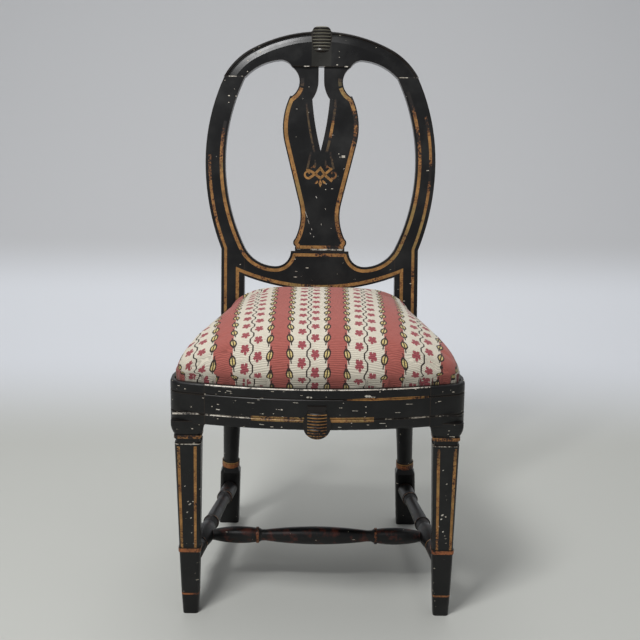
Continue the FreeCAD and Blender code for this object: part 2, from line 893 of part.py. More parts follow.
def leg_block_plan():
    """The block follows the rail's bow and rounds the corner of the seat."""
    return block_front() + [
        (S.block_outer, S.side_length_start),
        (S.block_inner, S.side_length_start),
    ]


def block_front(inset=0.0):
    """The block's outer faces in plan, or a line inside them, from the rail to the side."""
    corner = S.seat_corner_radius
    front_x = S.block_outer - corner * BLOCK_CORNER_SHARE
    side_y = bow_y(front_x) + corner * CORNER_SIDE_SHARE
    return [
        (S.block_inner, bow_y(S.block_inner, inset)),
        (front_x, bow_y(front_x, inset), S.bow_radius - inset, -1),
        (S.block_outer - inset, side_y, corner, -1),
    ]


def round_block_edges(body, side):
    """Round the top edges of the block's outer faces like the rails that meet it."""
    doc.recompute()
    base = body.Tip
    names = []
    for index, edge in enumerate(base.Shape.Edges, 1):
        box = edge.BoundBox
        level = abs(box.ZMin - float(S.seat_height))
        middle = edge.CenterOfMass
        inner = middle.x * side < S.block_inner + S.rail_edge_radius
        rear = middle.y > S.side_length_start - S.rail_edge_radius
        if level < float(S.tenon_clearance) and not inner and not rear:
            names.append(f"Edge{index}")
    fillet = body.newObject("PartDesign::Fillet", f"{body.Label}_rounding")
    fillet.Base = (base, names)
    fillet.Radius = float(S.rail_edge_radius)
    fillet.setExpression("Radius", formula(S.rail_edge_radius))


def cut_block_grooves(body, side):
    """Carry the rails' two sunk lines round the block."""
    groove = S.line_groove
    clear = S.block_width
    for drop in (S.upper_line_drop, S.lower_line_drop):
        band = sketch_on(body, PLAN_PLANE, height=S.seat_height - drop + groove)
        draw(band, block_front(groove) + [
            (S.block_outer - groove, S.side_length_start),
            (S.block_outer + clear, S.side_length_start),
            (S.block_outer + clear, -S.bow_projection - clear),
            (S.block_inner, -S.bow_projection - clear),
        ], side)
        pocket(body, band, groove * 2)


# Rear posts

ROUND_CORNER_SHARE = 0.98


def rear_leg_axis(height):
    """Centre of the raked rear leg at a height below the seat frame."""
    top = S.rail_bottom - S.post_block_drop
    fall = (top - height) / top
    x = S.post_x + (S.rear_foot_x - S.post_x) * fall
    y_top = S.seat_depth + S.post_depth / 2
    return x, y_top + (S.rear_foot_y - y_top) * fall


def post_outline():
    """The stile in the leaning plane: straight foot, then the two sides of the oval."""
    rise_foot = S.oval_height - S.oval_foot
    rise_inner = S.oval_height - S.oval_inner_foot
    rise_top = S.crest_joint - S.oval_height

    def bend(rise, step):
        return (rise * rise + step * step) / (step * 2)

    return [
        (S.post_inner, ZERO),
        (S.post_outer, ZERO),
        (S.post_outer, S.oval_foot),
        (S.oval_outer, S.oval_height, bend(rise_foot, S.oval_outer - S.post_outer), -1),
        (S.joint_outer, S.crest_joint, bend(rise_top, S.oval_outer - S.joint_outer), -1),
        (S.joint_inner, S.crest_joint),
        (S.oval_inner, S.oval_height, bend(rise_top, S.oval_inner - S.joint_inner), 1),
        (S.post_inner, S.oval_inner_foot, bend(rise_inner, S.oval_inner - S.post_inner), 1),
    ]


def post_profile():
    """Side view of the post from the seat block up into the leaning stile."""
    foot = S.rail_bottom - S.post_block_drop
    rear = S.seat_depth + S.post_depth
    front_top = lean_point(ZERO, S.post_blend_height)
    rear_top = lean_point(S.back_thickness, S.post_blend_height)
    return [
        (S.seat_depth, foot),
        (rear, foot),
        (rear, S.bend_height),
        (rear_top[0], rear_top[1], S.post_blend_radius, 1),
        front_top,
        (S.seat_depth, S.bend_height),
    ]


def leaning_sketch(body, x):
    """A side-view sketch of the leaning back, on a plane of constant X."""
    place = Placement(Vector(float(x), 0, 0), Rotation(Vector(1, 1, 1), 120))
    return sketch_on(body, PLAN_PLANE, offset=body.Local.inverse() * LEANING * place)


def make_rear_post(name, side):
    """Rear leg, seat block and back stile sawn from one plank and worked by hand."""
    body = body_for(f"rear_post_{name}")
    profile = sketch_on(body, SIDE_PLANE, height=S.post_x * side)
    draw(profile, post_profile())
    pad(body, profile, S.post_width, both=True)
    stile = sketch_on(body, PLAN_PLANE, offset=LEANING * Placement(
        Vector(), Rotation(Vector(1, 0, 0), 90)))
    draw(stile, post_outline(), side)
    pad(body, stile, S.back_thickness, reverse=True)
    make_rear_leg(body, side)
    add_joint_tenon(body, side)
    gap = S.tenon_clearance
    half = S.tenon_thickness / 2 + gap
    tenon_x = S.post_outer - S.side_tenon_rear_set
    mortise(body, tenon_x - half, S.seat_depth - gap,
            tenon_x + half, S.seat_depth + S.side_tenon_length + gap, side)
    centre = S.seat_depth + S.rear_tenon_set
    mortise(body, S.post_inner - gap, centre - half,
            S.post_inner + S.rear_tenon_length + gap, centre + half, side)
    slot = leaning_sketch(body, S.post_inner * side)
    low, high, near, far = cross_tenon_faces()
    draw(slot, box_path(near - gap, low - gap, far + gap, high + gap))
    pocket(body, slot, S.cross_tenon_length + gap, reverse=side > 0)
    start, stop = stretcher_ends(side)
    inward = (stop - start).normalize()
    hole(body, stop - inward * float(S.stretcher_radius), inward,
         S.stretcher_tenon_radius + gap,
         S.stretcher_radius + S.stretcher_tenon_length + gap)
    drill_pegs(body, "side_rear", side)
    drill_pegs(body, "rear", side)
    return body


def make_rear_leg(body, side):
    """Square raked foot with a rounded shoulder, a collar and a round tapered shaft."""
    corner = S.leg_corner_radius
    collar_foot = S.rear_block_height + S.rear_shoulder
    collar_top = collar_foot + S.rear_collar_height
    top = S.rail_bottom - S.post_block_drop

    def section(height, width, corner_radius):
        x, y = rear_leg_axis(height)
        return height, x * side, y, width, corner_radius

    def turned(height, radius):
        return section(height, radius * 2, radius * ROUND_CORNER_SHARE)

    collar_middle = (collar_foot + collar_top) / 2
    loft(body, [section(ZERO, S.rear_block_width, corner),
                section(S.rear_block_height, S.rear_block_width, corner)])
    loft(body, [section(S.rear_block_height, S.rear_block_width, corner),
                section(collar_foot, S.rear_neck_radius * 2, corner)])
    loft(body, [turned(collar_foot, S.rear_neck_radius),
                turned(collar_middle, S.rear_collar_radius),
                turned(collar_top, S.rear_neck_radius)])
    loft(body, [turned(collar_top, S.rear_shaft_foot), turned(top, S.rear_shaft_top)])


def joint_tenon_path(gap=0.0):
    """Front view of the tenon between stile and crest, in the leaning plane."""
    middle = (S.joint_outer + S.joint_inner) / 2
    half = S.joint_tenon_width / 2 + gap
    return box_path(middle - half, S.crest_joint - gap, middle + half,
                    S.crest_joint + S.joint_tenon_length + gap)


def back_layer(body, depth):
    """A front-view sketch of the leaning back, at a depth behind its face."""
    place = Placement(Vector(0, float(depth), 0), Rotation(Vector(1, 0, 0), 90))
    return sketch_on(body, PLAN_PLANE, offset=body.Local.inverse() * LEANING * place)


def add_joint_tenon(body, side):
    depth = (S.back_thickness - S.tenon_thickness) / 2
    tenon = back_layer(body, depth)
    draw(tenon, joint_tenon_path(), side)
    return pad(body, tenon, S.tenon_thickness, reverse=True)


# Leaning back

def make_crest_rail():
    """Arched top rail with lobes over the splat's arms and a ribbed shell on its crown."""
    body = body_for("crest_rail", LEANING)
    outer = S.joint_outer + S.crest_proud
    inner = S.joint_inner - S.crest_proud
    crown = crown_radius()
    add_shell(body)
    outline = back_layer(body, 0)
    draw(outline, [
        (outer, S.crest_joint),
        (S.crest_shoulder_x, S.crest_shoulder_height, S.crest_shoulder_radius, -1),
        (-S.crest_shoulder_x, S.crest_shoulder_height, crown, -1),
        (-outer, S.crest_joint, S.crest_shoulder_radius, -1),
        (-inner, S.crest_joint),
        (-S.crest_apex_x, S.crest_apex_height, S.crest_inner_radius, 1),
        (-S.arm_half, S.crest_seam, S.crest_lobe_radius, 1),
        (S.arm_half, S.crest_seam),
        (S.crest_apex_x, S.crest_apex_height, S.crest_lobe_radius, 1),
        (inner, S.crest_joint, S.crest_inner_radius, 1),
    ])
    pad(body, outline, S.back_thickness, reverse=True)
    for side in (-1, 1):
        sink_hollows(body, side)
    gap = S.tenon_clearance
    slot_depth = (S.back_thickness - S.tenon_thickness) / 2 - gap
    for side in (-1, 1):
        slot = back_layer(body, slot_depth)
        draw(slot, joint_tenon_path(gap), side)
        pocket(body, slot, S.tenon_thickness + gap * 2)
        arm = back_layer(body, splat_tenon_depth() - gap)
        draw(arm, arm_tenon_path(gap), side)
        pocket(body, arm, splat_tenon_thickness() + gap * 2)
    return body


def crown_radius():
    """Radius of the crest's long top arc, from its rise between the shoulders."""
    rise = S.crest_top - S.crest_shoulder_height
    return (S.crest_shoulder_x * S.crest_shoulder_x + rise * rise) / (rise * 2)


def arc_centre(start, stop, radius):
    """Centre of an arc that turns to the left on its way from start to stop."""
    chord = stop - start
    left = Vector(-chord.y, chord.x, 0).normalize()
    half = chord.Length / 2
    return start + chord / 2 + left * sqrt(radius * radius - half * half)


def steepness(centre, point):
    """Angle of a point round a centre, from straight up."""
    return degrees(atan2(abs(point.x - centre.x), point.y - centre.y))


def sink_hollows(body, side):
    """Hollow below the bead on one half of the crest's top edge, from the shell to the joint."""
    shoulder = Vector(float(S.crest_shoulder_x), float(S.crest_shoulder_height), 0)
    end = Vector(float(S.joint_outer + S.crest_proud), float(S.crest_joint), 0)
    crown = Vector(0, float(S.crest_top - crown_radius()), 0)
    turn = arc_centre(end, shoulder, float(S.crest_shoulder_radius))
    shell = degrees(asin(S.shell_half_width / (crown_radius() - S.crest_hollow_width
                                               - S.crest_bead)))
    sink_hollow(body, side, crown, crown_radius(), shell, steepness(crown, shoulder))
    sink_hollow(body, side, turn, S.crest_shoulder_radius,
                steepness(turn, shoulder) - HOLLOW_LAP, steepness(turn, end) + HOLLOW_RUN_OUT)


QUARTER_TURN = 90.0
HOLLOW_LAP = 1.0
HOLLOW_RUN_OUT = 10.0
HOLLOW_STEPS = ((0.06, 1.0), (0.30, 1.0), (0.62, 0.5))


def sink_hollow(body, side, centre, radius, start, stop):
    """Turn the bead and hollow's waste about an arc's centre, between two angles."""
    middle = (start + stop) / 2
    place = Placement(Vector(centre.x * side, 0, centre.y),
                      Rotation(Vector(0, 1, 0), middle * side - QUARTER_TURN))
    waste = sketch_on(body, PLAN_PLANE, offset=body.Local.inverse() * LEANING * place)
    clear = S.crest_hollow_depth
    edge = radius - S.crest_bead
    foot = edge - S.crest_hollow_width
    draw(waste, [(foot, -clear), (edge, -clear), (edge, ZERO)]
         + [(edge - S.crest_hollow_width * across, S.crest_hollow_depth * down)
            for across, down in HOLLOW_STEPS] + [(foot, ZERO)])
    chamfer = S.crest_bead_chamfer
    draw(waste, [(radius - chamfer, -clear), (radius + clear, -clear),
                 (radius + clear, chamfer), (radius, chamfer), (radius - chamfer, ZERO)])
    doc.recompute()
    before = body.Shape.Volume
    feature = body.newObject("PartDesign::Groove", f"{body.Label}_hollow")
    feature.Profile = waste
    feature.ReferenceAxis = (waste, ["V_Axis"])
    feature.Angle = stop - start
    feature.Midplane = True
    doc.recompute()
    if not body.Shape.Volume < before:
        raise ValueError(f"a hollow in {body.Label} takes nothing away")


def add_shell(body):
    """Carved shell of stacked ribs, turned about an axis behind the crest's face."""
    turned = turned_radius(S.shell_half_width, S.shell_relief)
    boss = back_layer(body, turned - S.shell_relief)
    draw(boss, ribbed_profile(S.shell_foot, S.shell_height, turned, SHELL_RIB_SHARES))
    revolve(body, boss, "V_Axis")
    waste = back_layer(body, turned * 3)
    draw(waste, box_path(-turned * 2, S.shell_foot - S.shell_relief, turned * 2,
                         S.shell_top + S.shell_relief))
    pocket(body, waste, turned * 3 - S.shell_back, reverse=True)
    rim = back_layer(body, -S.shell_relief * 2)
    half, corner = S.shell_half_width, S.shell_corner
    draw(rim, box_path(-turned * 2, S.shell_foot - S.shell_relief, turned * 2,
                       S.shell_top + S.shell_relief))
    draw(rim, [
        (half - corner, S.shell_foot),
        (half, S.shell_foot + corner, corner, -1),
        (half, S.shell_top - corner),
        (half - corner, S.shell_top, corner, -1),
        (corner - half, S.shell_top),
        (-half, S.shell_top - corner, corner, -1),
        (-half, S.shell_foot + corner),
        (corner - half, S.shell_foot, corner, -1),
    ])
    pocket(body, rim, S.shell_relief * 2 + S.shell_back * 2)


def cross_tenon_faces():
    """Lower, upper, near and far faces of the cross rail's tenon."""
    near = (S.back_thickness - S.tenon_thickness) / 2
    return (S.cross_rail_end + S.cross_tenon_edge, S.oval_inner_foot - S.cross_tenon_edge,
            near, near + S.tenon_thickness)


def make_back_cross_rail():
    """Curved lower rail of the oval with the raised shoe that carries the splat."""
    body = body_for("back_cross_rail", LEANING)
    sag = S.cross_rail_end - S.cross_rail_foot
    belly = (S.post_inner * S.post_inner + sag * sag) / (sag * 2)
    scoop_run = S.post_inner - S.scoop_x
    scoop_rise = S.oval_inner_foot - S.scoop_height
    scoop = (scoop_run * scoop_run + scoop_rise * scoop_rise) / (scoop_rise * 2)
    flank = S.shoe_height - S.scoop_height
    shoe = S.scoop_x - flank
    outline = back_layer(body, 0)
    draw(outline, [
        (S.post_inner, S.cross_rail_end, belly, -1),
        (S.post_inner, S.oval_inner_foot),
        (S.scoop_x, S.scoop_height, scoop, 1),
        (shoe, S.shoe_height, flank, 1),
        (-shoe, S.shoe_height),
        (-S.scoop_x, S.scoop_height, flank, 1),
        (-S.post_inner, S.oval_inner_foot, scoop, 1),
        (-S.post_inner, S.cross_rail_end),
    ])
    pad(body, outline, S.back_thickness, reverse=True)
    low, high, near, far = cross_tenon_faces()
    for side in (-1, 1):
        tenon = leaning_sketch(body, S.post_inner * side)
        draw(tenon, box_path(near, low, far, high))
        pad(body, tenon, S.cross_tenon_length, reverse=side < 0)
    gap = S.tenon_clearance
    slot = back_layer(body, splat_tenon_depth() - gap)
    draw(slot, foot_tenon_path(gap))
    pocket(body, slot, splat_tenon_thickness() + gap * 2)
    return body


def splat_tenon_thickness():
    return S.splat_thickness - S.splat_set_back


def splat_tenon_depth():
    return S.splat_set_back + (S.splat_thickness - splat_tenon_thickness()) / 2


def foot_tenon_path(gap=0.0):
    return box_path(-S.splat_tenon_half - gap, S.shoe_height - S.splat_tenon_length - gap,
                    S.splat_tenon_half + gap, S.shoe_height + gap)


def arm_tenon_path(gap=0.0):
    middle = (S.arm_half + S.slit_neck_half) / 2
    return box_path(middle - S.arm_tenon_half - gap, S.crest_seam - gap,
                    middle + S.arm_tenon_half + gap,
                    S.crest_seam + S.splat_tenon_length + gap)


def splat_edge():
    """Right edge of the splat from its foot to the crest: scroll, waist, flank and belly."""
    slope = S.flank_angle
    lift = 1 - cosine(slope)
    rise = S.belly_height - S.waist_height
    swell = S.belly_half - S.waist_half
    both = ((rise * tangent(slope) - swell)
            / (sine(slope) * tangent(slope) - lift))
    belly_radius = both - S.waist_radius
    below = S.waist_height - S.splat_bump
    bump_x = (S.waist_half + S.waist_radius
              - root(S.waist_radius * S.waist_radius - below * below))
    above = S.step_height - S.belly_height
    step_x = (S.belly_half - belly_radius
              + root(belly_radius * belly_radius - above * above))
    return [
        (S.splat_foot_half, S.shoe_height),
        (S.splat_foot_half, S.splat_bump_foot),
        (bump_x, S.splat_bump, S.splat_bump_radius, -1),
        (S.waist_half + S.waist_radius * lift,
         S.waist_height + S.waist_radius * sine(slope), S.waist_radius, 1),
        (S.belly_half - belly_radius * lift,
         S.belly_height - belly_radius * sine(slope)),
        (step_x, S.step_height, belly_radius, -1),
        (step_x - S.step_width, S.step_height),
        (S.arm_half, S.crest_seam, S.arm_radius, 1),
    ]


def mirrored(path):
    """The same outline on the other side, travelled the other way."""
    points = [(-step[0], step[1]) for step in path]
    arcs = [step[2:] for step in path]
    result = [points[-1]]
    for index in range(len(path) - 2, -1, -1):
        arc = arcs[index + 1]
        result.append((*points[index], *arc) if arc else points[index])
    return result


def make_splat():
    """Pierced vase splat with two arms either side of a long pointed slit."""
    body = body_for("splat", LEANING)
    outline = back_layer(body, S.splat_set_back)
    edge = splat_edge()
    draw(outline, edge + mirrored(edge))
    pad(body, outline, S.splat_thickness, reverse=True)
    slit = back_layer(body, S.splat_set_back)
    draw(slit, [
        (ZERO + S.slit_neck_half, S.crest_seam),
        (-S.slit_neck_half, S.crest_seam),
        (-S.slit_neck_half, S.slit_neck_height),
        (-S.slit_half, S.slit_wide_height, S.slit_neck_radius, 1),
        (ZERO, S.slit_point, S.slit_side_radius, -1),
        (S.slit_half, S.slit_wide_height, S.slit_side_radius, -1),
        (S.slit_neck_half, S.slit_neck_height, S.slit_neck_radius, 1),
    ])
    pocket(body, slit)
    foot = back_layer(body, splat_tenon_depth())
    draw(foot, foot_tenon_path())
    pad(body, foot, splat_tenon_thickness(), reverse=True)
    for side in (-1, 1):
        arm = back_layer(body, splat_tenon_depth())
        draw(arm, arm_tenon_path(), side)
        pad(body, arm, splat_tenon_thickness(), reverse=True)
    return body


# Turned stretchers

def chair_side(body, x=0.0):
    """A side-view sketch in the chair's coordinates, on a plane of constant X."""
    place = Placement(Vector(float(x), 0, 0), Rotation(Vector(1, 1, 1), 120))
    return sketch_on(body, PLAN_PLANE, offset=body.Local.inverse() * place)


def bead(start, width, radius):
    """A chamfered ring on a turned piece, from its start to its end along the axis."""
    proud = radius + S.stretcher_ring_proud
    chamfer = S.stretcher_ring_proud
    return [(start, radius), (start + chamfer, proud), (start + width - chamfer, proud),
            (start + width, radius)]


def swelling(x0, r0, x1, r1, peak):
    """A bellied stretch between two radii; the rise of its arc reaches the peak radius."""
    half = (x1 - x0) / 2
    rise = peak - (r0 + r1) / 2
    return [(x0, r0), (x1, r1, (half * half + rise * rise) / (rise * 2), 1)]


SIDE_RING_SHARES = (0.14, 0.449, 0.83)
BULB_SHARE = 0.28
BULB_REACH_SHARE = 0.125
CROSS_RING_SHARE = 0.205
CROSS_NECK_END_SHARE = 0.255


def make_side_stretcher(name, side):
    """Turned stretcher: bulb that takes the cross stretcher, three rings, plain ends."""
    start, stop = stretcher_ends(side)
    run = stop - start
    length = Size(run.Length, repr(run.Length))
    body = body_for(f"side_stretcher_{name}",
                    Placement(start, Rotation(Vector(1, 0, 0), run)))
    first, second, third = (length * share for share in SIDE_RING_SHARES)
    bulb = length * BULB_SHARE
    reach = length * BULB_REACH_SHARE
    width = S.stretcher_ring_width
    neck = S.stretcher_neck_radius
    ring = S.stretcher_ring_radius
    full = S.stretcher_radius
    path = [(-full, ZERO), (-full, full), (first - width, full)]
    path += bead(first, width, ring)
    path += swelling(bulb - reach, neck, bulb + reach, neck, S.stretcher_bulb_radius)
    path += bead(second, width, ring)
    path += [(second + width * 2, ring), (third - width * 2, neck)]
    path += bead(third, width, ring)
    path += [(third + width * 2, full), (length + full, full), (length + full, ZERO)]
    turned = sketch_on(body, FRONT_PLANE)
    draw(turned, path)
    revolve(body, turned)
    low = S.stretcher_height_rear - full * 2
    high = S.stretcher_height_front + full * 2
    for face, away in ((front_leg_face, -full * 3), (rear_leg_face, full * 3)):
        low_y, high_y = face(low), face(high)
        waste = chair_side(body)
        draw(waste, [(low_y, low), (low_y + away, low), (low_y + away, high),
                     (high_y, high)])
        pocket(body, waste, both=True)
    tenon = sketch_on(body, FRONT_PLANE)
    reach = S.stretcher_tenon_length
    draw(tenon, box_path(-reach, ZERO, length + reach, S.stretcher_tenon_radius))
    revolve(body, tenon)
    outward = Vector(side, 0, 0)
    hole(body, bulb_centre(side) - outward * float(S.stretcher_bulb_radius * 2), outward,
         S.cross_tenon_radius + S.tenon_clearance,
         S.stretcher_bulb_radius + S.cross_tenon_depth + S.tenon_clearance)
    return body


def front_leg_face(height):
    """Where a stretcher ends behind the front leg's tapering foot, at a height."""
    return shaft_half(height) + S.stretcher_gap


def rear_leg_face(height):
    """Where a stretcher ends in front of the raked rear leg, at a height."""
    return rear_leg_axis(height)[1] - S.rear_block_width / 2 - S.stretcher_gap


def bulb_centre(side):
    start, stop = stretcher_ends(side)
    return start + (stop - start) * BULB_SHARE


def make_cross_stretcher():
    """Turned stretcher coped against the bulbs of the side stretchers."""
    left, right = bulb_centre(-1), bulb_centre(1)
    body = body_for("cross_stretcher", Placement(left, Rotation()))
    length = Size((right - left).Length, repr((right - left).Length))
    bulb = S.stretcher_bulb_radius
    visible = length - bulb * 2
    ring = bulb + visible * CROSS_RING_SHARE
    width = S.stretcher_ring_width
    neck = S.cross_neck_radius
    full = S.cross_end_radius
    neck_end = bulb + visible * CROSS_NECK_END_SHARE
    half = [(ZERO, S.cross_end_foot)]
    half += swelling(bulb, S.cross_end_foot, ring - width, full, S.cross_end_belly)
    half += bead(ring, width, S.stretcher_ring_radius)
    half += [(ring + width * 2, neck), (neck_end, neck)]
    middle = swelling(neck_end, neck, length - neck_end, neck, S.cross_swell_radius)
    back = [(length - ring - width * 2, neck)]
    back += bead(length - ring - width, width, S.stretcher_ring_radius)
    back += swelling(length - ring + width, full, length - bulb, S.cross_end_foot,
                     S.cross_end_belly)
    back += [(length, S.cross_end_foot), (length, ZERO)]
    turned = sketch_on(body, FRONT_PLANE)
    draw(turned, [(ZERO, ZERO)] + half + middle[1:] + back)
    revolve(body, turned)
    for side in (-1, 1):
        start, stop = stretcher_ends(side)
        along = (stop - start).normalize()
        hole(body, bulb_centre(side) - along * float(bulb * 2), along,
             bulb + S.stretcher_gap, bulb * 4)
    tenon = sketch_on(body, FRONT_PLANE)
    draw(tenon, box_path(bulb - S.cross_tenon_depth, ZERO,
                         length - bulb + S.cross_tenon_depth, S.cross_tenon_radius))
    revolve(body, tenon)
    return body


# Pegs through the rail tenons

REAR_PEG_SHARE = 0.75


def peg_places(side):
    """Start, direction and length of the pegs of each rail joint on one side."""
    middle = (S.tenon_bottom + S.tenon_top) / 2
    pair = (middle - S.peg_spacing / 2, middle + S.peg_spacing / 2)
    front_x = S.block_inner + S.front_tenon_length / 2
    front_run = S.side_length_start + S.front_tenon_set + S.tenon_thickness / 2 + S.peg_end
    side_x0 = S.block_outer - S.side_tenon_front_set + S.tenon_thickness / 2 + S.peg_end
    rear_x1 = S.post_outer - S.side_tenon_rear_set + S.tenon_thickness / 2 + S.peg_end
    rear_y = S.seat_depth + S.rear_tenon_set - S.tenon_thickness / 2
    post_back = S.seat_depth + S.post_depth
    return {
        "front": [((front_x, S.side_length_start, z), (0, -1, 0), front_run) for z in pair],
        "side_front": [((S.block_inner, S.side_length_start / 2, middle), (side, 0, 0),
                        side_x0 - S.block_inner)],
        "side_rear": [((S.post_inner, S.seat_depth + S.side_tenon_length * REAR_PEG_SHARE,
                        middle), (side, 0, 0), rear_x1 - S.post_inner)],
        "rear": [((S.post_inner + S.rear_tenon_length / 2, post_back, z), (0, -1, 0),
                  post_back - rear_y + S.tenon_clearance) for z in pair],
    }


def drill_pegs(body, joint, side):
    for (x, y, z), direction, length in peg_places(side)[joint]:
        hole(body, Vector(side * x, y, z), Vector(*direction),
             S.peg_radius + S.peg_clearance, length + S.peg_clearance)


def make_pegs():
    """All the pegs, as one group of separate dowels."""
    group = []
    for _, side in SIDES:
        for places in peg_places(side).values():
            for (x, y, z), direction, length in places:
                peg = cylinder("peg", S.peg_radius, length)
                peg.Placement = Placement(Vector(side * x, y - S.centre_y, z),
                                          Rotation(Vector(0, 0, 1), Vector(*direction)))
                group.append(peg)
    return compound("joint_pegs", group)


def cylinder(name, radius, height):
    item = doc.addObject("Part::Cylinder", name)
    item.setExpression("Radius", formula(radius))
    item.setExpression("Height", formula(height))
    return item


# Drop-in seat

# Levels as shares of the crown, and how far inside the rail's face as shares of the inset.
CUSHION_LEVEL_SHARES = (0.005, 0.04, 0.10, 0.18, 0.27, 0.37, 0.475, 0.575, 0.67, 0.755)
CUSHION_INSET_SHARES = (1.0, 0.9, 0.9, 1.0, 1.2, 1.48, 1.9, 2.5, 3.35, 4.45)
# Above them the outline closes in towards the middle.
CUSHION_TOP_LEVEL_SHARES = (0.84, 0.915, 0.965, 1.0)
CUSHION_TOP_SHARES = (0.90, 0.77, 0.57, 0.25)
# The corners grow rounder and the back draws in as the crown closes.
CUSHION_CORNER_SHARE = 2.7
CUSHION_REAR_SHARE = 0.5


def seat_inset():
    """How far the seat's cover lies inside the rail's face where it enters the rebate."""
    return S.lip_width + S.seat_clearance


def seat_section(body, height, inset):
    """A sketch of the seat's outline, some way inside the rail's face."""
    rear = S.seat_depth - S.seat_clearance
    if inset > seat_inset():
        rear = rear - (inset - seat_inset())
    sketch = chair_sketch(body, height)
    return draw(sketch, seat_plan(inset, rear, S.seat_corner_radius))


def seat_prism(body, inset, low, high, cut=False):
    """A plate of the seat's outline, added or cut between two heights."""
    sketch = seat_section(body, high if cut else low, inset)
    return pocket(body, sketch, high - low) if cut else pad(body, sketch, high - low)


def cushion_sections(within):
    """Height, inset and share of each outline of the crown, or of a form within it."""
    base = seat_inset()
    crown = S.cushion_crown
    sections = []
    for level, inset in zip(CUSHION_LEVEL_SHARES, CUSHION_INSET_SHARES):
        drop = within * level if sections else -within
        sections.append((S.seat_height + crown * level - drop, base * inset, 1.0))
    last = base * CUSHION_INSET_SHARES[-1]
    for level, share in zip(CUSHION_TOP_LEVEL_SHARES, CUSHION_TOP_SHARES):
        sections.append((S.seat_height + crown * level - within, last, share))
    return sections


def cushion_outline(body, within, height, inset, share):
    """A sketch of the crown at one height, rounder in front the further it draws in."""
    drawn = max(inset - seat_inset(), ZERO)
    rear = S.seat_depth - S.seat_clearance - drawn * CUSHION_REAR_SHARE - within
    corner = S.seat_corner_radius + drawn * CUSHION_CORNER_SHARE
    sketch = chair_sketch(body, height)
    return draw(sketch, seat_plan(inset + within, rear, corner, share))


def cushion_loft(body, within, kind="PartDesign::AdditiveLoft"):
    """The crowned form above the rails, as a ruled loft through its outlines."""
    sketches = [cushion_outline(body, within, *place) for place in cushion_sections(within)]
    feature = body.newObject(kind, f"{body.Label}_crown")
    feature.Profile = sketches[0]
    feature.Sections = sketches[1:]
    feature.Ruled = True


def seat_levels():
    """Heights of the layers of the seat, from the ledge up."""
    foot = S.ledge_height + S.seat_play
    frame = foot + S.cover_thickness
    top = frame + S.slip_thickness
    hessian = top + S.web_thickness * 2
    return foot, frame, top, hessian, hessian + S.cloth


def make_seat_cover():
    """Woven cover: crowned outside, hollow inside, turned under the frame as a hem."""
    body = body_for("seat_cover")
    foot, frame, top, hessian, fill = seat_levels()
    start = S.seat_height + S.cushion_crown * CUSHION_LEVEL_SHARES[0]
    seat_prism(body, seat_inset(), foot, start)
    cushion_loft(body, ZERO)
    inner = seat_inset() + S.cover_thickness
    seat_prism(body, inner, frame, start + S.cover_thickness, cut=True)
    cushion_loft(body, S.cover_thickness, "PartDesign::SubtractiveLoft")
    seat_prism(body, seat_inset() + S.cover_hem, foot, frame, cut=True)
    return body


def make_stuffing():
    """Horsehair and tow pad that fills the cover above the hessian."""
    body = body_for("stuffing")
    foot, frame, top, hessian, fill = seat_levels()
    cushion_loft(body, S.cover_thickness + S.cover_gap)
    waste = chair_sketch(body, fill)
    reach = S.seat_depth
    draw(waste, box_path(-reach, -reach, reach, reach * 2))
    pocket(body, waste, S.seat_height)
    return body


def slip_inset():
    return seat_inset() + S.cover_thickness + S.cover_gap


def slip_inner_lines():
    """Inner edges of the seat frame: front Y, rear Y and the inset of the sides."""
    front = slip_inset() + S.slip_width - S.bow_projection
    rear = S.seat_depth - S.seat_clearance - S.cover_thickness - S.cover_gap - S.slip_width
    return front, rear, slip_inset() + S.slip_width


def make_slip_rail(edge):
    """One of four rails halved together at the corners, with its tack holes."""
    body = body_for(f"slip_frame_{edge}")
    foot, frame, top, hessian, fill = seat_levels()
    seat_prism(body, slip_inset(), frame, top)
    front, rear, sides = slip_inner_lines()
    reach = S.seat_depth
    half = (top - frame) / 2
    side = SIDE_OF.get(edge, 0)
    inner_line = [(side_x(-reach, sides), -reach), (side_x(reach * 2, sides), reach * 2)]
    if side:
        cuts = [(inner_line + [(-reach, reach * 2), (-reach, -reach)], top, top - frame)]
        cuts += [(box_path(ZERO, low, reach, high), top - half, half)
                 for low, high in ((-reach, front), (rear, reach * 2))]
    else:
        low, high = (front, reach * 2) if edge == "front" else (-reach, rear)
        cuts = [(box_path(-reach, low, reach, high), top, top - frame)]
        corner = inner_line + [(reach * 2, reach * 2), (reach * 2, -reach)]
        cuts += [([(x * hand, y) for x, y in corner], top, half) for hand in (-1, 1)]
    for path, height, depth in cuts:
        waste = sketch_on(body, PLAN_PLANE, height=height)
        draw(waste, path, side or 1)
        pocket(body, waste, depth)
    return drill_tacks(body, [edge], frame, S.tack_shank)


SIDE_OF = {"left": -1, "right": 1}
SEAT_EDGES = ("front", "rear", "left", "right")
TACK_SHARES = (0.15, 0.5, 0.85)
TACK_SPREAD_SHARE = 0.78


def tack_places(edge):
    """Where the tacks go through the base cloth into one rail of the seat frame."""
    set_in = seat_inset() + S.cover_hem + S.tack_set
    front = set_in - S.bow_projection
    rear = S.seat_depth - S.seat_clearance - S.cover_hem - S.tack_set
    spread = S.leg_x * TACK_SPREAD_SHARE
    if edge == "front":
        xs = [spread * (share * 2 - 1) for share in TACK_SHARES]
        return [(x, bow_y(x, set_in)) for x in xs]
    if edge == "rear":
        return [(S.post_inner * (share * 2 - 1), rear) for share in TACK_SHARES]
    run = rear - front - S.slip_width * 2
    ys = [front + S.slip_width + run * share for share in TACK_SHARES]
    return [(side_x(y, set_in) * SIDE_OF[edge], y) for y in ys]


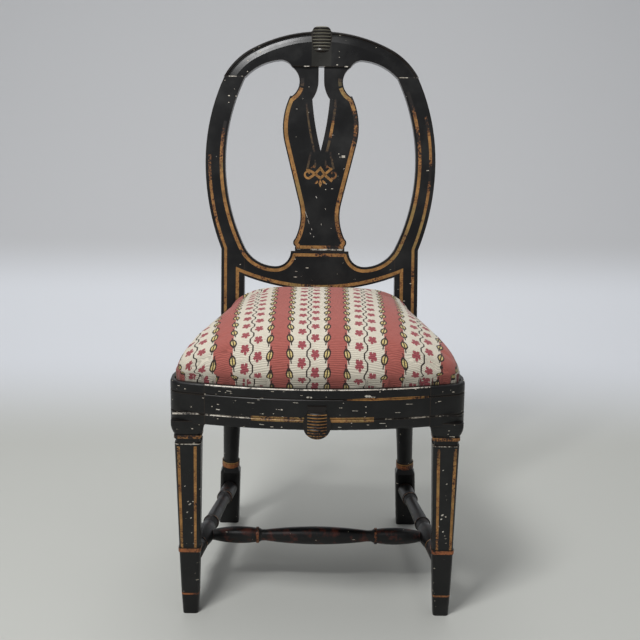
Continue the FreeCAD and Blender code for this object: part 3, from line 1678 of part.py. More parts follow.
def drill_tacks(body, edges, height, depth):
    """Holes for the shanks of the tacks along some edges of the seat."""
    sketch = sketch_on(body, PLAN_PLANE, height=height)
    for edge in edges:
        for x, y in tack_places(edge):
            circle(sketch, x, y, S.tack_shank_radius + S.tack_clearance)
    pocket(body, sketch, depth, reverse=True)
    return body


def make_lengthwise_webbing():
    """Jute straps from the front of the seat frame to its rear."""
    body = body_for("webbing_lengthwise")
    foot, frame, top, hessian, fill = seat_levels()
    inset = slip_inset() + S.web_end_inset
    sketch = sketch_on(body, PLAN_PLANE, height=top + S.web_thickness)
    half = S.web_width / 2
    for count in LENGTHWISE_PLACES:
        x = S.web_spacing * count
        far = x + half if count > 0 else half - x
        draw(sketch, box_path(x - half, bow_y(far, inset), x + half, S.seat_depth - inset))
    pad(body, sketch, S.web_thickness)
    return body


def make_crosswise_webbing():
    """Jute straps from side to side, under the lengthwise ones."""
    body = body_for("webbing_crosswise")
    foot, frame, top, hessian, fill = seat_levels()
    inset = slip_inset() + S.web_end_inset
    sketch = sketch_on(body, PLAN_PLANE, height=top)
    half = S.web_width / 2
    front, rear, sides = slip_inner_lines()
    for count in CROSSWISE_PLACES:
        y = (front + rear) / 2 + S.web_spacing * count
        low_x, high_x = side_x(y - half, inset), side_x(y + half, inset)
        draw(sketch, [(low_x, y - half), (high_x, y + half),
                      (-high_x, y + half), (-low_x, y - half)])
    pad(body, sketch, S.web_thickness)
    return body


LENGTHWISE_PLACES = (-1.5, -0.5, 0.5, 1.5)
CROSSWISE_PLACES = (-1, 0, 1)


def make_hessian():
    """Coarse cloth over the webbing, which the stuffing lies on."""
    body = body_for("hessian")
    foot, frame, top, hessian, fill = seat_levels()
    seat_prism(body, slip_inset() + S.web_end_inset / 2, hessian, fill)
    return body


def make_base_cloth():
    """Black dust cloth tacked under the seat frame, inside the cover's hem."""
    body = body_for("base_cloth")
    foot, frame, top, hessian, fill = seat_levels()
    seat_prism(body, seat_inset() + S.cover_hem + S.cover_gap, frame - S.cloth, frame)
    return drill_tacks(body, SEAT_EDGES, frame - S.cloth, S.cloth)


def compound(label, members):
    """A group of like pieces as one node."""
    group = doc.addObject("Part::Compound", label)
    group.Label = label
    group.Links = members
    return group


def make_tacks():
    """Tacks that hold the base cloth under the seat frame."""
    foot, frame, top, hessian, fill = seat_levels()
    head_z = frame - S.cloth - S.tack_head
    tacks = []
    for x, y in [place for edge in SEAT_EDGES for place in tack_places(edge)]:
        head = cylinder("tack_head", S.tack_radius, S.tack_head)
        shank = cylinder("tack_shank", S.tack_shank_radius,
                         S.tack_head + S.cloth + S.tack_shank / 2)
        for item in (head, shank):
            item.Placement = Placement(Vector(x, y - S.centre_y, head_z), Rotation())
        tack = doc.addObject("Part::Fuse", "tack")
        tack.Base = head
        tack.Tool = shank
        tacks.append(tack)
    return compound("cover_tacks", tacks)


# The whole chair

SIDES = (("left", -1), ("right", 1))


def make_chair():
    """Every piece of the chair, from the floor up and then the seat."""
    pieces = [make_front_rail(), make_front_rail_drop(), make_rear_rail(),
              make_cross_stretcher(), make_crest_rail(), make_back_cross_rail(),
              make_splat(), make_pegs()]
    for name, side in SIDES:
        pieces += [make_front_leg(name, side), make_rear_post(name, side),
                   make_side_rail(name, side), make_side_stretcher(name, side),
                   make_corner_block(f"corner_block_front_{name}", side, front=True),
                   make_corner_block(f"corner_block_rear_{name}", side, front=False)]
    pieces += [make_slip_rail(edge) for edge in SEAT_EDGES]
    pieces += [make_lengthwise_webbing(), make_crosswise_webbing(), make_hessian(),
               make_stuffing(), make_seat_cover(), make_base_cloth(), make_tacks()]
    return pieces


def check_document(pieces):
    """No object has failed, and every piece has a sound shape."""
    for item in doc.Objects:
        if {"Invalid", "Error"} & set(item.State):
            raise ValueError(f"{item.Label} is {item.State}")
    for piece in pieces:
        if piece.Shape.isNull() or not piece.Shape.isValid():
            raise ValueError(f"{piece.Label} has no sound shape")


chair = make_chair()
doc.recompute()
check_document(chair)
os.makedirs("parts", exist_ok=True)
for piece in chair:
    piece.Shape.exportStep(f"parts/{piece.Label}.step")
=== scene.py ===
"""A stencilled painted side chair with a drop-in seat, dressed and lit as it was photographed."""

import logging
import math
from collections.abc import Iterable, Sequence
from dataclasses import dataclass, field
from enum import Enum

import bmesh
import bpy
from mathutils import Matrix, Vector, noise


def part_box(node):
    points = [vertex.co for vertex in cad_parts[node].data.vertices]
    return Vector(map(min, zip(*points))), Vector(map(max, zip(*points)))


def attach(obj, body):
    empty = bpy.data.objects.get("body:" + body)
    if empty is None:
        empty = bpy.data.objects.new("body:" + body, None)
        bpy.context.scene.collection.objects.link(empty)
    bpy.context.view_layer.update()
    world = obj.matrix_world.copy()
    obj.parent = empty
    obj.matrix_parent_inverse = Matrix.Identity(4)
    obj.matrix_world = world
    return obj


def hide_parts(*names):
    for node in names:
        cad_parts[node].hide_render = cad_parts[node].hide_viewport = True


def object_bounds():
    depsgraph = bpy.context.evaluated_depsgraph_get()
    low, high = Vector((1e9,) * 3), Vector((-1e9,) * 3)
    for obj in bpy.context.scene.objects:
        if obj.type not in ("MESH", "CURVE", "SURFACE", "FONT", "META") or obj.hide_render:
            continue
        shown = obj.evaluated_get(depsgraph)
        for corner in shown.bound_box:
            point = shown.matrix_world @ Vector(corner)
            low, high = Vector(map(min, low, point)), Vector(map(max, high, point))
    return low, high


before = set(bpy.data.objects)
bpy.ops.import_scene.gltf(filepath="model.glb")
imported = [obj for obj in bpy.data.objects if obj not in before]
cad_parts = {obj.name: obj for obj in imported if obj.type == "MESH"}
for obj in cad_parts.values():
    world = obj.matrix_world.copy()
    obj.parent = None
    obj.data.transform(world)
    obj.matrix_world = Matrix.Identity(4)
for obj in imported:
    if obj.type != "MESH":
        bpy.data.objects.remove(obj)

LOG = logging.getLogger("side_chair")
MM = 0.001
MERGE = 0.01 * MM
CAD_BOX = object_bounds()
CHAIR = "chair_frame"
SEAT = "drop_in_seat"
# A Mix node's colours are its inputs 6 and 7, and its mixed colour is output 2.
A, B = 6, 7
COLOUR_MIX = {"out": 2, "data_type": "RGBA"}
# Sizes in millimetres that several sub-assemblies share.
RAIL_RADIUS = 700.0
RAIL_CENTRE_Y = 448.7
RAIL_TOP = 405.6
RAIL_FOOT = 337.7
LEG_X = 208.6
LEG_Y = -195.5


class Side(Enum):
    """Left and right as seen from the front."""

    LEFT = -1
    RIGHT = 1


def linear(colour: str) -> tuple[float, float, float, float]:
    """Turn an sRGB hex colour into Blender's linear one.

    Args:
        colour: Six hex digits with a leading hash.

    Returns:
        Red, green, blue and alpha.
    """
    parts = [int(colour[i:i + 2], 16) / 255 for i in (1, 3, 5)]
    red, green, blue = (c / 12.92 if c <= 0.04045 else ((c + 0.055) / 1.055) ** 2.4 for c in parts)
    return red, green, blue, 1.0


# Finishes


class Nodes:
    """The node tree of one material."""

    def __init__(self, name: str) -> None:
        """Start a material with an empty tree.

        Args:
            name: The material's name.
        """
        self.material = bpy.data.materials.new(name)
        self.material.use_nodes = True
        self.tree = self.material.node_tree
        self.tree.nodes.clear()

    def add(self, kind: str, *inputs: object, out: int | str = 0,
            **settings: object) -> bpy.types.NodeSocket:
        """Add a node with its settings and links.

        Args:
            kind: The node's type without its ShaderNode prefix.
            inputs: A value, hex colour or socket for each input in order, None to leave one
                alone, or a pair of an input's name or place and its value.
            out: Which output to return.
            settings: Properties of the node.

        Returns:
            The chosen output socket.
        """
        node = self.tree.nodes.new("ShaderNode" + kind)
        for key, value in settings.items():
            setattr(node, key, value)
        for place, value in enumerate(inputs):
            if isinstance(value, tuple) and len(value) == 2:
                place, value = value
            socket = node.inputs[place]
            if isinstance(value, bpy.types.NodeSocket):
                self.tree.links.new(value, socket)
            elif isinstance(value, str):
                socket.default_value = linear(value)
            elif value is not None:
                socket.default_value = value
        return node.outputs[out] if len(node.outputs) else node.inputs[0]

    def finish(self, *inputs: tuple[str, object]) -> bpy.types.Material:
        """Close the tree with a Principled shader.

        Args:
            inputs: Names and values of the shader's inputs.

        Returns:
            The finished material.
        """
        self.add("OutputMaterial", self.add("BsdfPrincipled", *inputs))
        return self.material


@dataclass(frozen=True)
class PaintedWood:
    """Old black oil paint brushed on pine: deep and glossy, flecked and chipped to its ground."""

    name: str = "black oil paint on pine"
    coat: str = "#0B0B0C"
    scuffed: str = "#252524"
    bare: str = "#CFC6B6"
    under: str = "#57422F"
    flecks: float = 0.8
    scratches: float = 0.12
    edges: float = 0.3
    streaks: float = 0.0
    roughness: float = 0.27

    def material(self) -> bpy.types.Material:
        """Build the paint.

        Returns:
            The material.
        """
        g = Nodes(self.name)
        at = g.add("TexCoord", out="Object")
        # Clouds of scuffing about 60 mm across, and brush marks 1 mm apart along the grain.
        clouds = g.add("TexNoise", at, ("Scale", 18.0), ("Detail", 5.0), ("Roughness", 0.6))
        grain = g.add("Mapping", at, ("Scale", (1000.0, 1000.0, 90.0)))
        brush = g.add("TexNoise", grain, ("Scale", 1.0), ("Detail", 3.0))
        scuff = g.add("MapRange", clouds, 0.45, 0.8, 0.0, 0.7)
        scuffed = g.add("Mix", scuff, (A, self.coat), (B, self.scuffed), **COLOUR_MIX)
        # Places 10 mm across where the black is rubbed thin over the ground beneath.
        rubs = g.add("TexNoise", at, ("Scale", 55.0), ("Detail", 5.0), ("Roughness", 0.6))
        thinned = g.add("MapRange", rubs, 0.52, 0.66, 0.0, self.streaks)
        paint = g.add("Mix", thinned, (A, scuffed), (B, self.under), **COLOUR_MIX)
        paint = self.carved(g, at, paint)
        # Flecks 0.5 to 3 mm across and scratches 2 to 6 mm long, thicker in patches.
        jag = g.add("TexNoise", at, ("Scale", 500.0), ("Detail", 3.0))
        patches = g.add("TexNoise", at, ("Scale", 14.0), ("Detail", 3.0))
        thick = g.add("MapRange", patches, 0.38, 0.60, 0.3, 1.0)
        marks = []
        for squash, rate, share in ((0.6, 150.0, self.flecks * 0.3),
                                    (0.2, 230.0, self.scratches)):
            cells = g.add("TexVoronoi",
                          g.add("Mapping", at, ("Scale", (squash, squash, 1.0))),
                          ("Scale", rate))
            chance = g.add("SeparateColor", cells.node.outputs["Color"], out="Red")
            size = g.add("MapRange", chance, 1.0 - share, 1.0, 0.0, 0.2)
            reach = g.add("Math", g.add("Math", size, thick, operation="MULTIPLY"), jag,
                          operation="MULTIPLY")
            marks.append(g.add("Math", cells, g.add("Math", reach, 1.75, operation="MULTIPLY"),
                               operation="LESS_THAN"))
        fleck = g.add("Math", *marks, operation="MAXIMUM")
        # Rubbed corners, 1.5 mm wide.
        flat = g.add("NewGeometry", out="Normal")
        soft = g.add("Bevel", ("Radius", 1.5 * MM), samples=6)
        turn = g.add("VectorMath", flat, soft, out="Value", operation="DOT_PRODUCT")
        corner = g.add("MapRange", turn, 0.995, 0.90, 0.0, 1.0)
        rub = g.add("TexNoise", at, ("Scale", 75.0), ("Detail", 6.0), ("Roughness", 0.72))
        start = 0.70 - self.edges * 0.22
        rubbed = g.add("MapRange", rub, start, start + 0.06, 0.0, 1.0)
        worn = g.add("Math", corner, rubbed, operation="MULTIPLY")
        gone = g.add("Math", worn, fleck, operation="MAXIMUM")
        hint = g.add("Math", corner, 0.25, operation="MULTIPLY")
        thin = g.add("Mix", hint, (A, paint), (B, self.under), **COLOUR_MIX)
        tint = g.add("MapRange", jag, 0.25, 0.5, 0.0, 1.0)
        ground = g.add("Mix", tint, (A, self.under), (B, self.bare), **COLOUR_MIX)
        colour = g.add("Mix", gone, (A, thin), (B, ground), **COLOUR_MIX)
        gloss = g.add("MapRange", clouds, 0.3, 0.7, self.roughness, self.roughness + 0.16)
        dull = g.add("Math", gone, 0.35, gloss, operation="MULTIPLY_ADD")
        dent = g.add("Math", gone, -0.8, operation="MULTIPLY")
        height = g.add("Math", brush, 0.2, dent, operation="MULTIPLY_ADD")
        bump = g.add("Bump", ("Strength", 0.3), ("Distance", 0.35 * MM), ("Height", height))
        return g.finish(("Base Color", colour), ("Roughness", dull), ("Normal", bump),
                        ("Specular IOR Level", 0.36))

    def carved(self, g: Nodes, at: bpy.types.NodeSocket,
               paint: bpy.types.NodeSocket) -> bpy.types.NodeSocket:
        """Change the paint on carving; plain wood has none.

        Args:
            g: The material's nodes.
            at: The place on the piece.
            paint: The paint's colour.

        Returns:
            The colour with its carving.
        """
        return paint


@dataclass(frozen=True)
class ShellPaint(PaintedWood):
    """The crest's paint, glossier, and lightened to a greenish grey on the shell's ribs where they
    face up: rubbing and a painted highlight together.
    """

    name: str = "black oil paint on carved pine"
    roughness: float = 0.2
    shell_half: float = 17.8
    shell_rub_and_highlight: str = "#6E6C60"

    def carved(self, g: Nodes, at: bpy.types.NodeSocket,
               paint: bpy.types.NodeSocket) -> bpy.types.NodeSocket:
        """Lighten the ribs where they face up, as rubbing and a painted highlight.

        Args:
            g: The material's nodes.
            at: The place on the piece.
            paint: The paint's colour.

        Returns:
            The colour with its ribs' rubbing and painted highlight.
        """
        place = g.add("SeparateXYZ", at, out="X")
        middle = g.add("Math", g.add("Math", place, operation="ABSOLUTE"),
                       self.shell_half * MM, operation="LESS_THAN")
        # Ribs that face up are lightened: a painted highlight as well as rubbing.
        tilt = g.add("SeparateXYZ", g.add("NewGeometry", out="Normal"), out="Z")
        crest = g.add("MapRange", tilt, 0.15, 0.6, 0.0, 0.9)
        return g.add("Mix", g.add("Math", middle, crest, operation="MULTIPLY"),
                     (A, paint), (B, self.shell_rub_and_highlight), **COLOUR_MIX)


@dataclass(frozen=True)
class Gilding:
    """Bronze-gold size paint ruled by hand: dull ochre gold, rubbed through to red and black."""

    name: str = "worn gold size paint"
    gold: str = "#AD7E46"
    dull: str = "#7A582C"
    green: str = "#857B4C"
    bole: str = "#6E3A22"
    coat: str = "#171210"
    rubbed: float = 0.0

    def material(self) -> bpy.types.Material:
        """Build the gilding, which reads how far it is rubbed from the piece's attribute.

        Returns:
            The material.
        """
        g = Nodes(self.name)
        at = g.add("TexCoord", out="Object")
        worn = g.add("Attribute", attribute_name="worn", out="Fac")
        tone = g.add("TexNoise", at, ("Scale", 60.0), ("Detail", 4.0), ("Roughness", 0.65))
        share = g.add("MapRange", tone, 0.35, 0.65, 0.0, 1.0)
        brown = g.add("Mix", share, (A, self.gold), (B, self.dull), **COLOUR_MIX)
        # Stretches some 80 mm long where the bronze has turned greenish.
        drift = g.add("TexNoise", at, ("Scale", 11.0), ("Detail", 2.0))
        turned = g.add("MapRange", drift, 0.52, 0.66, 0.0, 0.5)
        gold = g.add("Mix", turned, (A, brown), (B, self.green), **COLOUR_MIX)
        # Losses 1 to 5 mm long that show the red bole at their rims and the black inside.
        loss = g.add("TexNoise", at, ("Scale", 300.0), ("Detail", 4.0), ("Roughness", 0.7))
        wide = g.add("TexNoise", at, ("Scale", 34.0), ("Detail", 2.0))
        rough = g.add("Math", wide, 0.6, loss, operation="MULTIPLY_ADD")
        level = g.add("Math", worn, 0.42, rough, operation="MULTIPLY_ADD")
        low = 0.95 - self.rubbed
        rim = g.add("MapRange", level, low - 0.12, low, 0.0, 1.0)
        core = g.add("MapRange", level, low, low + 0.05, 0.0, 1.0)
        redder = g.add("Math", rim, 0.75, operation="MULTIPLY")
        rimmed = g.add("Mix", redder, (A, gold), (B, self.bole), **COLOUR_MIX)
        bare = self.bare(g, at, core)
        colour = g.add("Mix", bare, (A, rimmed), (B, self.coat), **COLOUR_MIX)
        bump = g.add("Bump", ("Strength", 0.3), ("Distance", 0.2 * MM), ("Height", loss))
        return g.finish(("Base Color", colour), ("Roughness", 0.46), ("Metallic", 0.25),
                        ("Normal", bump))

    def bare(self, g: Nodes, at: bpy.types.NodeSocket,
             core: bpy.types.NodeSocket) -> bpy.types.NodeSocket:
        """Find where the black shows; on a ruled line that is only inside its losses.

        Args:
            g: The material's nodes.
            at: The place on the piece.
            core: The inside of the losses.

        Returns:
            How bare it is.
        """
        return core


@dataclass(frozen=True)
class RibGilding(Gilding):
    """Gilding on the carved drop: kept on the ribs' crests, dark in their valleys and rim; the
    valleys' dark is black paint and painted shade together.
    """

    name: str = "gilded carving"
    rubbed: float = 0.05
    crests: float = 1.5
    rib_foot: float = 327.7
    rib_top: float = 367.7
    rib_pitch: float = 5.0
    rib_half: float = 15.5

    def bare(self, g: Nodes, at: bpy.types.NodeSocket,
             core: bpy.types.NodeSocket) -> bpy.types.NodeSocket:
        """Add the ribs' valleys, dark as paint and as painted shade, and what lies above and
        beside them, to what is bare.

        Args:
            g: The material's nodes.
            at: The place on the piece.
            core: The inside of the losses.

        Returns:
            How bare it is.
        """
        place = g.add("SeparateXYZ", at, out="Z")
        # Valleys between the ribs go dark: black paint and painted shade.
        beat = g.add("Math", g.add("Math", place, -self.rib_foot * MM, operation="ADD"),
                     self.rib_pitch * MM / 2, operation="PINGPONG")
        valley_paint_and_shade = g.add("MapRange", beat, self.crests * MM, (self.crests + 0.5) * MM, 1.0, 0.0)
        above = g.add("Math", place, self.rib_top * MM, operation="GREATER_THAN")
        aside = g.add("Math", g.add("Math", place.node.outputs["X"], operation="ABSOLUTE"),
                      self.rib_half * MM, operation="GREATER_THAN")
        for dark in (valley_paint_and_shade, above, aside):
            core = g.add("Math", core, dark, operation="MAXIMUM")
        return core


@dataclass(frozen=True)
class StripedCloth:
    """Cotton and wool rep woven in brick-red stripes, linked borders and leaves on a stem."""

    name: str = "striped furnishing rep"
    red: str = "#B66358"
    deep: str = "#954A42"
    cream: str = "#D7CFBD"
    straw: str = "#D3BD7C"
    dark: str = "#2B1E18"
    leaf: str = "#9A474D"
    # The pattern's sizes in millimetres of cloth.
    repeat: float = 91.0
    edge: float = 15.9
    link_half: float = 5.6
    link_rise: float = 7.8
    pitch: float = 25.0
    first_red: float = 31.0
    link_lean: float = 0.22
    leaf_out: float = 10.0
    leaf_size: float = 6.4
    leaf_tilt: float = 50.0
    # How many times each wave goes round a leaf, and how far it swells its edge.
    lobes: tuple[tuple[float, float], ...] = ((1.0, 0.9), (5.0, 1.3), (10.0, -0.4), (15.0, 0.6))
    stem_step: float = 2.5
    thread: float = 2.6
    # Heights in metres between which the painted shade and soiling at the cloth's foot fade out.
    shade_and_soil_low: float = 0.409
    shade_and_soil_high: float = 0.436

    def material(self) -> bpy.types.Material:
        """Build the weave on the piece's own map, whose unit is a metre along the cloth.

        Returns:
            The material.
        """
        g = Nodes(self.name)
        uv = g.add("UVMap", uv_map="weave")
        across = g.add("SeparateXYZ", uv, out="X")
        mm_x = g.add("Math", across, 1000.0, -self.first_red, operation="MULTIPLY_ADD")
        mm_y = g.add("Math", across.node.outputs["Y"], 1000.0, operation="MULTIPLY")
        half = self.repeat / 2
        # Millimetres to either side of the nearest red stripe's middle.
        reach = g.add("Math", g.add("Math", mm_x, -half, half, operation="WRAP"),
                      operation="ABSOLUTE")
        is_cream = g.add("MapRange", reach, self.edge - 0.3, self.edge + 0.3, 0.0, 1.0)
        mottled = g.add("TexNoise", g.add("Mapping", uv, ("Scale", (1.0, 6.0, 1.0))),
                        ("Scale", 90.0), ("Detail", 3.0))
        red = g.add("Mix", mottled, (A, self.red), (B, self.deep), **COLOUR_MIX)
        base = g.add("Mix", is_cream, (A, red), (B, self.cream), **COLOUR_MIX)
        # Border: leaning eight-sided links with a dark rim and a dark thread through them.
        beat = g.add("Math", mm_y, -self.pitch / 2, self.pitch / 2, operation="WRAP")
        slant = g.add("Math", beat, self.link_lean, reach, operation="MULTIPLY_ADD")
        off = g.add("Math", g.add("Math", slant, -self.edge, operation="ADD"),
                    operation="ABSOLUTE")
        wide = g.add("Math", off, self.link_half, operation="DIVIDE")
        tall = g.add("Math", g.add("Math", beat, operation="ABSOLUTE"), self.link_rise,
                     operation="DIVIDE")
        cut = g.add("Math", g.add("Math", wide, tall, operation="ADD"), 0.72,
                    operation="MULTIPLY")
        link = g.add("Math", g.add("Math", wide, tall, operation="MAXIMUM"), cut,
                     operation="MAXIMUM")
        inside = g.add("MapRange", link, 0.97, 1.03, 1.0, 0.0)
        heart = g.add("MapRange", link, 0.58, 0.66, 1.0, 0.0)
        bar = g.add("MapRange", off, 0.8, 1.1, 1.0, 0.0)
        rimmed = g.add("Mix", inside, (A, base), (B, self.dark), **COLOUR_MIX)
        filled = g.add("Mix", heart, (A, rimmed), (B, self.straw), **COLOUR_MIX)
        linked = g.add("Mix", bar, (A, filled), (B, self.dark), **COLOUR_MIX)
        # Stem: a dark stepped line up the middle of the cream.
        middle = g.add("Math", g.add("Math", mm_x, -half, operation="ADD"), -half, half,
                       operation="WRAP")
        swing = g.add("Math", mm_y, self.pitch / 2, operation="PINGPONG")
        step = g.add("MapRange", swing, self.pitch * 0.14, self.pitch * 0.36, -self.stem_step,
                     self.stem_step)
        stem_off = g.add("Math", g.add("Math", middle, step, operation="SUBTRACT"),
                         operation="ABSOLUTE")
        stem = g.add("MapRange", stem_off, 1.0, 1.4, 1.0, 0.0)
        stemmed = g.add("Mix", stem, (A, linked), (B, self.dark), **COLOUR_MIX)
        leaves = []
        for side, shift in ((1.0, 0.0), (-1.0, 0.5)):
            lx = g.add("Math", middle, -side * self.leaf_out, operation="ADD")
            ly = g.add("Math", g.add("Math", mm_y, -self.pitch * shift, operation="ADD"),
                       -self.pitch / 2, self.pitch / 2, operation="WRAP")
            angle = g.add("Math", ly, g.add("Math", lx, side, operation="MULTIPLY"),
                          operation="ARCTAN2")
            span = g.add("VectorMath", g.add("CombineXYZ", lx, ly), out="Value",
                         operation="LENGTH")
            # Five broad pointed lobes, the longest ones away from the stem.
            edge = self.leaf_size
            for rate, swell in self.lobes:
                wave = g.add("Math", angle, rate, -math.radians(self.leaf_tilt * rate),
                             operation="MULTIPLY_ADD")
                edge = g.add("Math", g.add("Math", wave, operation="COSINE"), swell, edge,
                             operation="MULTIPLY_ADD")
            leaves.append(g.add("MapRange", g.add("Math", span, edge, operation="SUBTRACT"),
                                -0.3, 0.3, 1.0, 0.0))
        leafy = g.add("Mix", g.add("Math", *leaves, operation="MAXIMUM"), (A, stemmed),
                      (B, self.leaf), **COLOUR_MIX)
        # Weft ribs of 1.3 mm, drawn twice as coarse so that they show, and finer warp threads;
        # their light and dark in the colour is painted shade of the weave, with the slub's own
        # tone.
        ribs = g.add("Math", g.add("Math", mm_y, 2 * math.pi / self.thread,
                                   operation="MULTIPLY"), operation="SINE")
        warp = g.add("Math", g.add("Math", mm_x, 2 * math.pi / (self.thread * 0.6),
                                   operation="MULTIPLY"), operation="SINE")
        weave = g.add("Math", warp, 0.4, ribs, operation="MULTIPLY_ADD")
        slub = g.add("TexNoise", g.add("Mapping", uv, ("Scale", (1.0, 9.0, 1.0))),
                     ("Scale", 160.0), ("Detail", 3.0), ("Roughness", 0.7))
        shade = g.add("MapRange", g.add("Math", slub, 2.0, weave, operation="MULTIPLY_ADD"),
                      -0.4, 2.2, 0.64, 1.08)
        # The cloth is darker where it meets the rails: painted shade and soiling.
        level = g.add("SeparateXYZ", g.add("TexCoord", out="Object"), out="Z")
        shaded_and_soiled = g.add("MapRange", level, self.shade_and_soil_low, self.shade_and_soil_high, 0.68, 1.0)
        shaded = g.add("Mix", 1.0, (A, leafy), (B, g.add("Math", shade, shaded_and_soiled,
                                                         operation="MULTIPLY")),
                       blend_type="MULTIPLY", **COLOUR_MIX)
        height = g.add("Math", slub, 1.2, weave, operation="MULTIPLY_ADD")
        bump = g.add("Bump", ("Strength", 0.5), ("Distance", 0.5 * MM), ("Height", height))
        return g.finish(("Base Color", shaded), ("Roughness", 0.88), ("Sheen Weight", 0.15),
                        ("Normal", bump))


@dataclass(frozen=True)
class PlainWood:
    """Unpainted softwood: pale, with darker late-wood lines along the grain."""

    name: str
    light: str
    dark: str
    ring: float = 4.0
    grain: tuple[float, float, float] = (1.0, 1.0, 0.12)

    def material(self) -> bpy.types.Material:
        """Build the wood.

        Returns:
            The material.
        """
        g = Nodes(self.name)
        at = g.add("TexCoord", out="Object")
        run = g.add("Mapping", at, ("Scale", self.grain))
        rings = g.add("TexNoise", run, ("Scale", 1000.0 / self.ring / 4), ("Detail", 4.0),
                      ("Distortion", 0.6))
        pores = g.add("TexNoise", run, ("Scale", 900.0), ("Detail", 2.0))
        mixed = g.add("Math", pores, 0.35, rings, operation="MULTIPLY_ADD")
        share = g.add("MapRange", mixed, 0.45, 0.85, 0.0, 1.0)
        colour = g.add("Mix", share, (A, self.light), (B, self.dark), **COLOUR_MIX)
        bump = g.add("Bump", ("Strength", 0.3), ("Distance", 0.3 * MM), ("Height", mixed))
        return g.finish(("Base Color", colour), ("Roughness", 0.62), ("Normal", bump))


@dataclass(frozen=True)
class PlainCloth:
    """A plain-woven cloth or webbing whose crossing threads show as a fine grid."""

    name: str
    light: str
    dark: str
    thread: float = 1.2

    def material(self) -> bpy.types.Material:
        """Build the cloth.

        Returns:
            The material.
        """
        g = Nodes(self.name)
        at = g.add("TexCoord", out="Object")
        split = g.add("SeparateXYZ", at, out="X")
        rate = 2000 * math.pi / self.thread
        warp = g.add("Math", g.add("Math", split, rate, operation="MULTIPLY"), operation="SINE")
        weft = g.add("Math", g.add("Math", split.node.outputs["Y"], rate, operation="MULTIPLY"),
                     operation="SINE")
        weave = g.add("Math", warp, weft, operation="ADD")
        stain = g.add("TexNoise", at, ("Scale", 30.0), ("Detail", 4.0))
        level = g.add("Math", weave, 0.12, stain, operation="MULTIPLY_ADD")
        share = g.add("MapRange", level, 0.25, 0.75, 0.0, 1.0)
        colour = g.add("Mix", share, (A, self.light), (B, self.dark), **COLOUR_MIX)
        bump = g.add("Bump", ("Strength", 0.5), ("Distance", 0.3 * MM), ("Height", weave))
        return g.finish(("Base Color", colour), ("Roughness", 0.9), ("Normal", bump))


@dataclass(frozen=True)
class TackSteel:
    """Blued cut tacks: dark steel, rusty in places."""

    name: str = "blued tack steel"
    steel: str = "#3A3A3D"
    rust: str = "#6A4230"

    def material(self) -> bpy.types.Material:
        """Build the steel.

        Returns:
            The material.
        """
        g = Nodes(self.name)
        at = g.add("TexCoord", out="Object")
        spots = g.add("TexNoise", at, ("Scale", 500.0), ("Detail", 4.0))
        share = g.add("MapRange", spots, 0.45, 0.65, 0.0, 1.0)
        colour = g.add("Mix", share, (A, self.steel), (B, self.rust), **COLOUR_MIX)
        metal = g.add("MapRange", share, 0.0, 1.0, 0.9, 0.1)
        return g.finish(("Base Color", colour), ("Roughness", 0.5), ("Metallic", metal))


# Faces that lines are drawn on; each place is in millimetres.


@dataclass(frozen=True)
class BackFace:
    """The chair's leaning back, across in X and up along its slope."""

    depth: float = 0.0
    foot_y: float = 135.5
    foot_z: float = 420.0
    lean: float = math.radians(11.1)

    def point(self, x: float, up: float, lift: float) -> Vector:
        """Find a point in front of the face.

        Args:
            x: Across.
            up: Along the slope from its foot.
            lift: Distance in front of the face.

        Returns:
            The point in metres.
        """
        y = self.depth - lift
        return Vector((x, self.foot_y + up * math.sin(self.lean) + y * math.cos(self.lean),
                       self.foot_z + up * math.cos(self.lean) - y * math.sin(self.lean))) * MM


@dataclass(frozen=True)
class BowFace:
    """The bowed face of the front rail, across in X and up in Z."""

    def point(self, x: float, z: float, lift: float) -> Vector:
        """Find a point in front of the face.

        Args:
            x: Across.
            z: Height.
            lift: Distance in front of the face.

        Returns:
            The point in metres.
        """
        reach = RAIL_RADIUS + lift
        return Vector((x, RAIL_CENTRE_Y - math.sqrt(reach * reach - x * x), z)) * MM


@dataclass(frozen=True)
class BowEdge:
    """The rounded upper edge of the bowed front rail, across in X and up along its round."""

    edge: float = 4.0

    def point(self, x: float, along: float, lift: float) -> Vector:
        """Find a point outside the edge.

        Args:
            x: Across.
            along: Distance round the edge from the face.
            lift: Distance outside it.

        Returns:
            The point in metres.
        """
        angle = along / self.edge
        reach = RAIL_RADIUS - self.edge + (self.edge + lift) * math.cos(angle)
        return Vector((x, RAIL_CENTRE_Y - math.sqrt(reach * reach - x * x),
                       RAIL_TOP - self.edge + (self.edge + lift) * math.sin(angle))) * MM


@dataclass(frozen=True)
class Taper:
    """A stretch of a square front leg, by height and width at its foot and at its top."""

    side: Side
    foot: tuple[float, float]
    top: tuple[float, float]

    def half(self, z: float) -> float:
        """Find half the leg's width at a height.

        Args:
            z: The height.

        Returns:
            Half the width.
        """
        (z0, w0), (z1, w1) = self.foot, self.top
        return (w0 + (w1 - w0) * (z - z0) / (z1 - z0)) / 2


@dataclass(frozen=True)
class SquareFace(Taper):
    """Round the leg with its rounded corners, by share of its girth and height."""

    corner: float = 6.0

    def point(self, share: float, z: float, lift: float) -> Vector:
        """Find a point outside the leg.

        Args:
            share: Share of the way round from the middle of the front.
            z: Height.
            lift: Distance outside the face.

        Returns:
            The point in metres.
        """
        half = self.half(z)
        flat = half - self.corner
        arc = self.corner * math.pi / 2
        quarter = flat * 2 + arc
        run = (share % 1.0) * quarter * 4 + flat
        face, step = divmod(run, quarter)
        if step <= flat * 2:
            spot = Vector((step - flat, -half - lift))
        else:
            angle = (step - flat * 2) / self.corner - math.pi / 2
            reach = self.corner + lift
            spot = Vector((flat + reach * math.cos(angle), -flat + reach * math.sin(angle)))
        spot.rotate(Matrix.Rotation(face * math.pi / 2, 2))
        return Vector((LEG_X * self.side.value + spot.x, LEG_Y + spot.y, z)) * MM


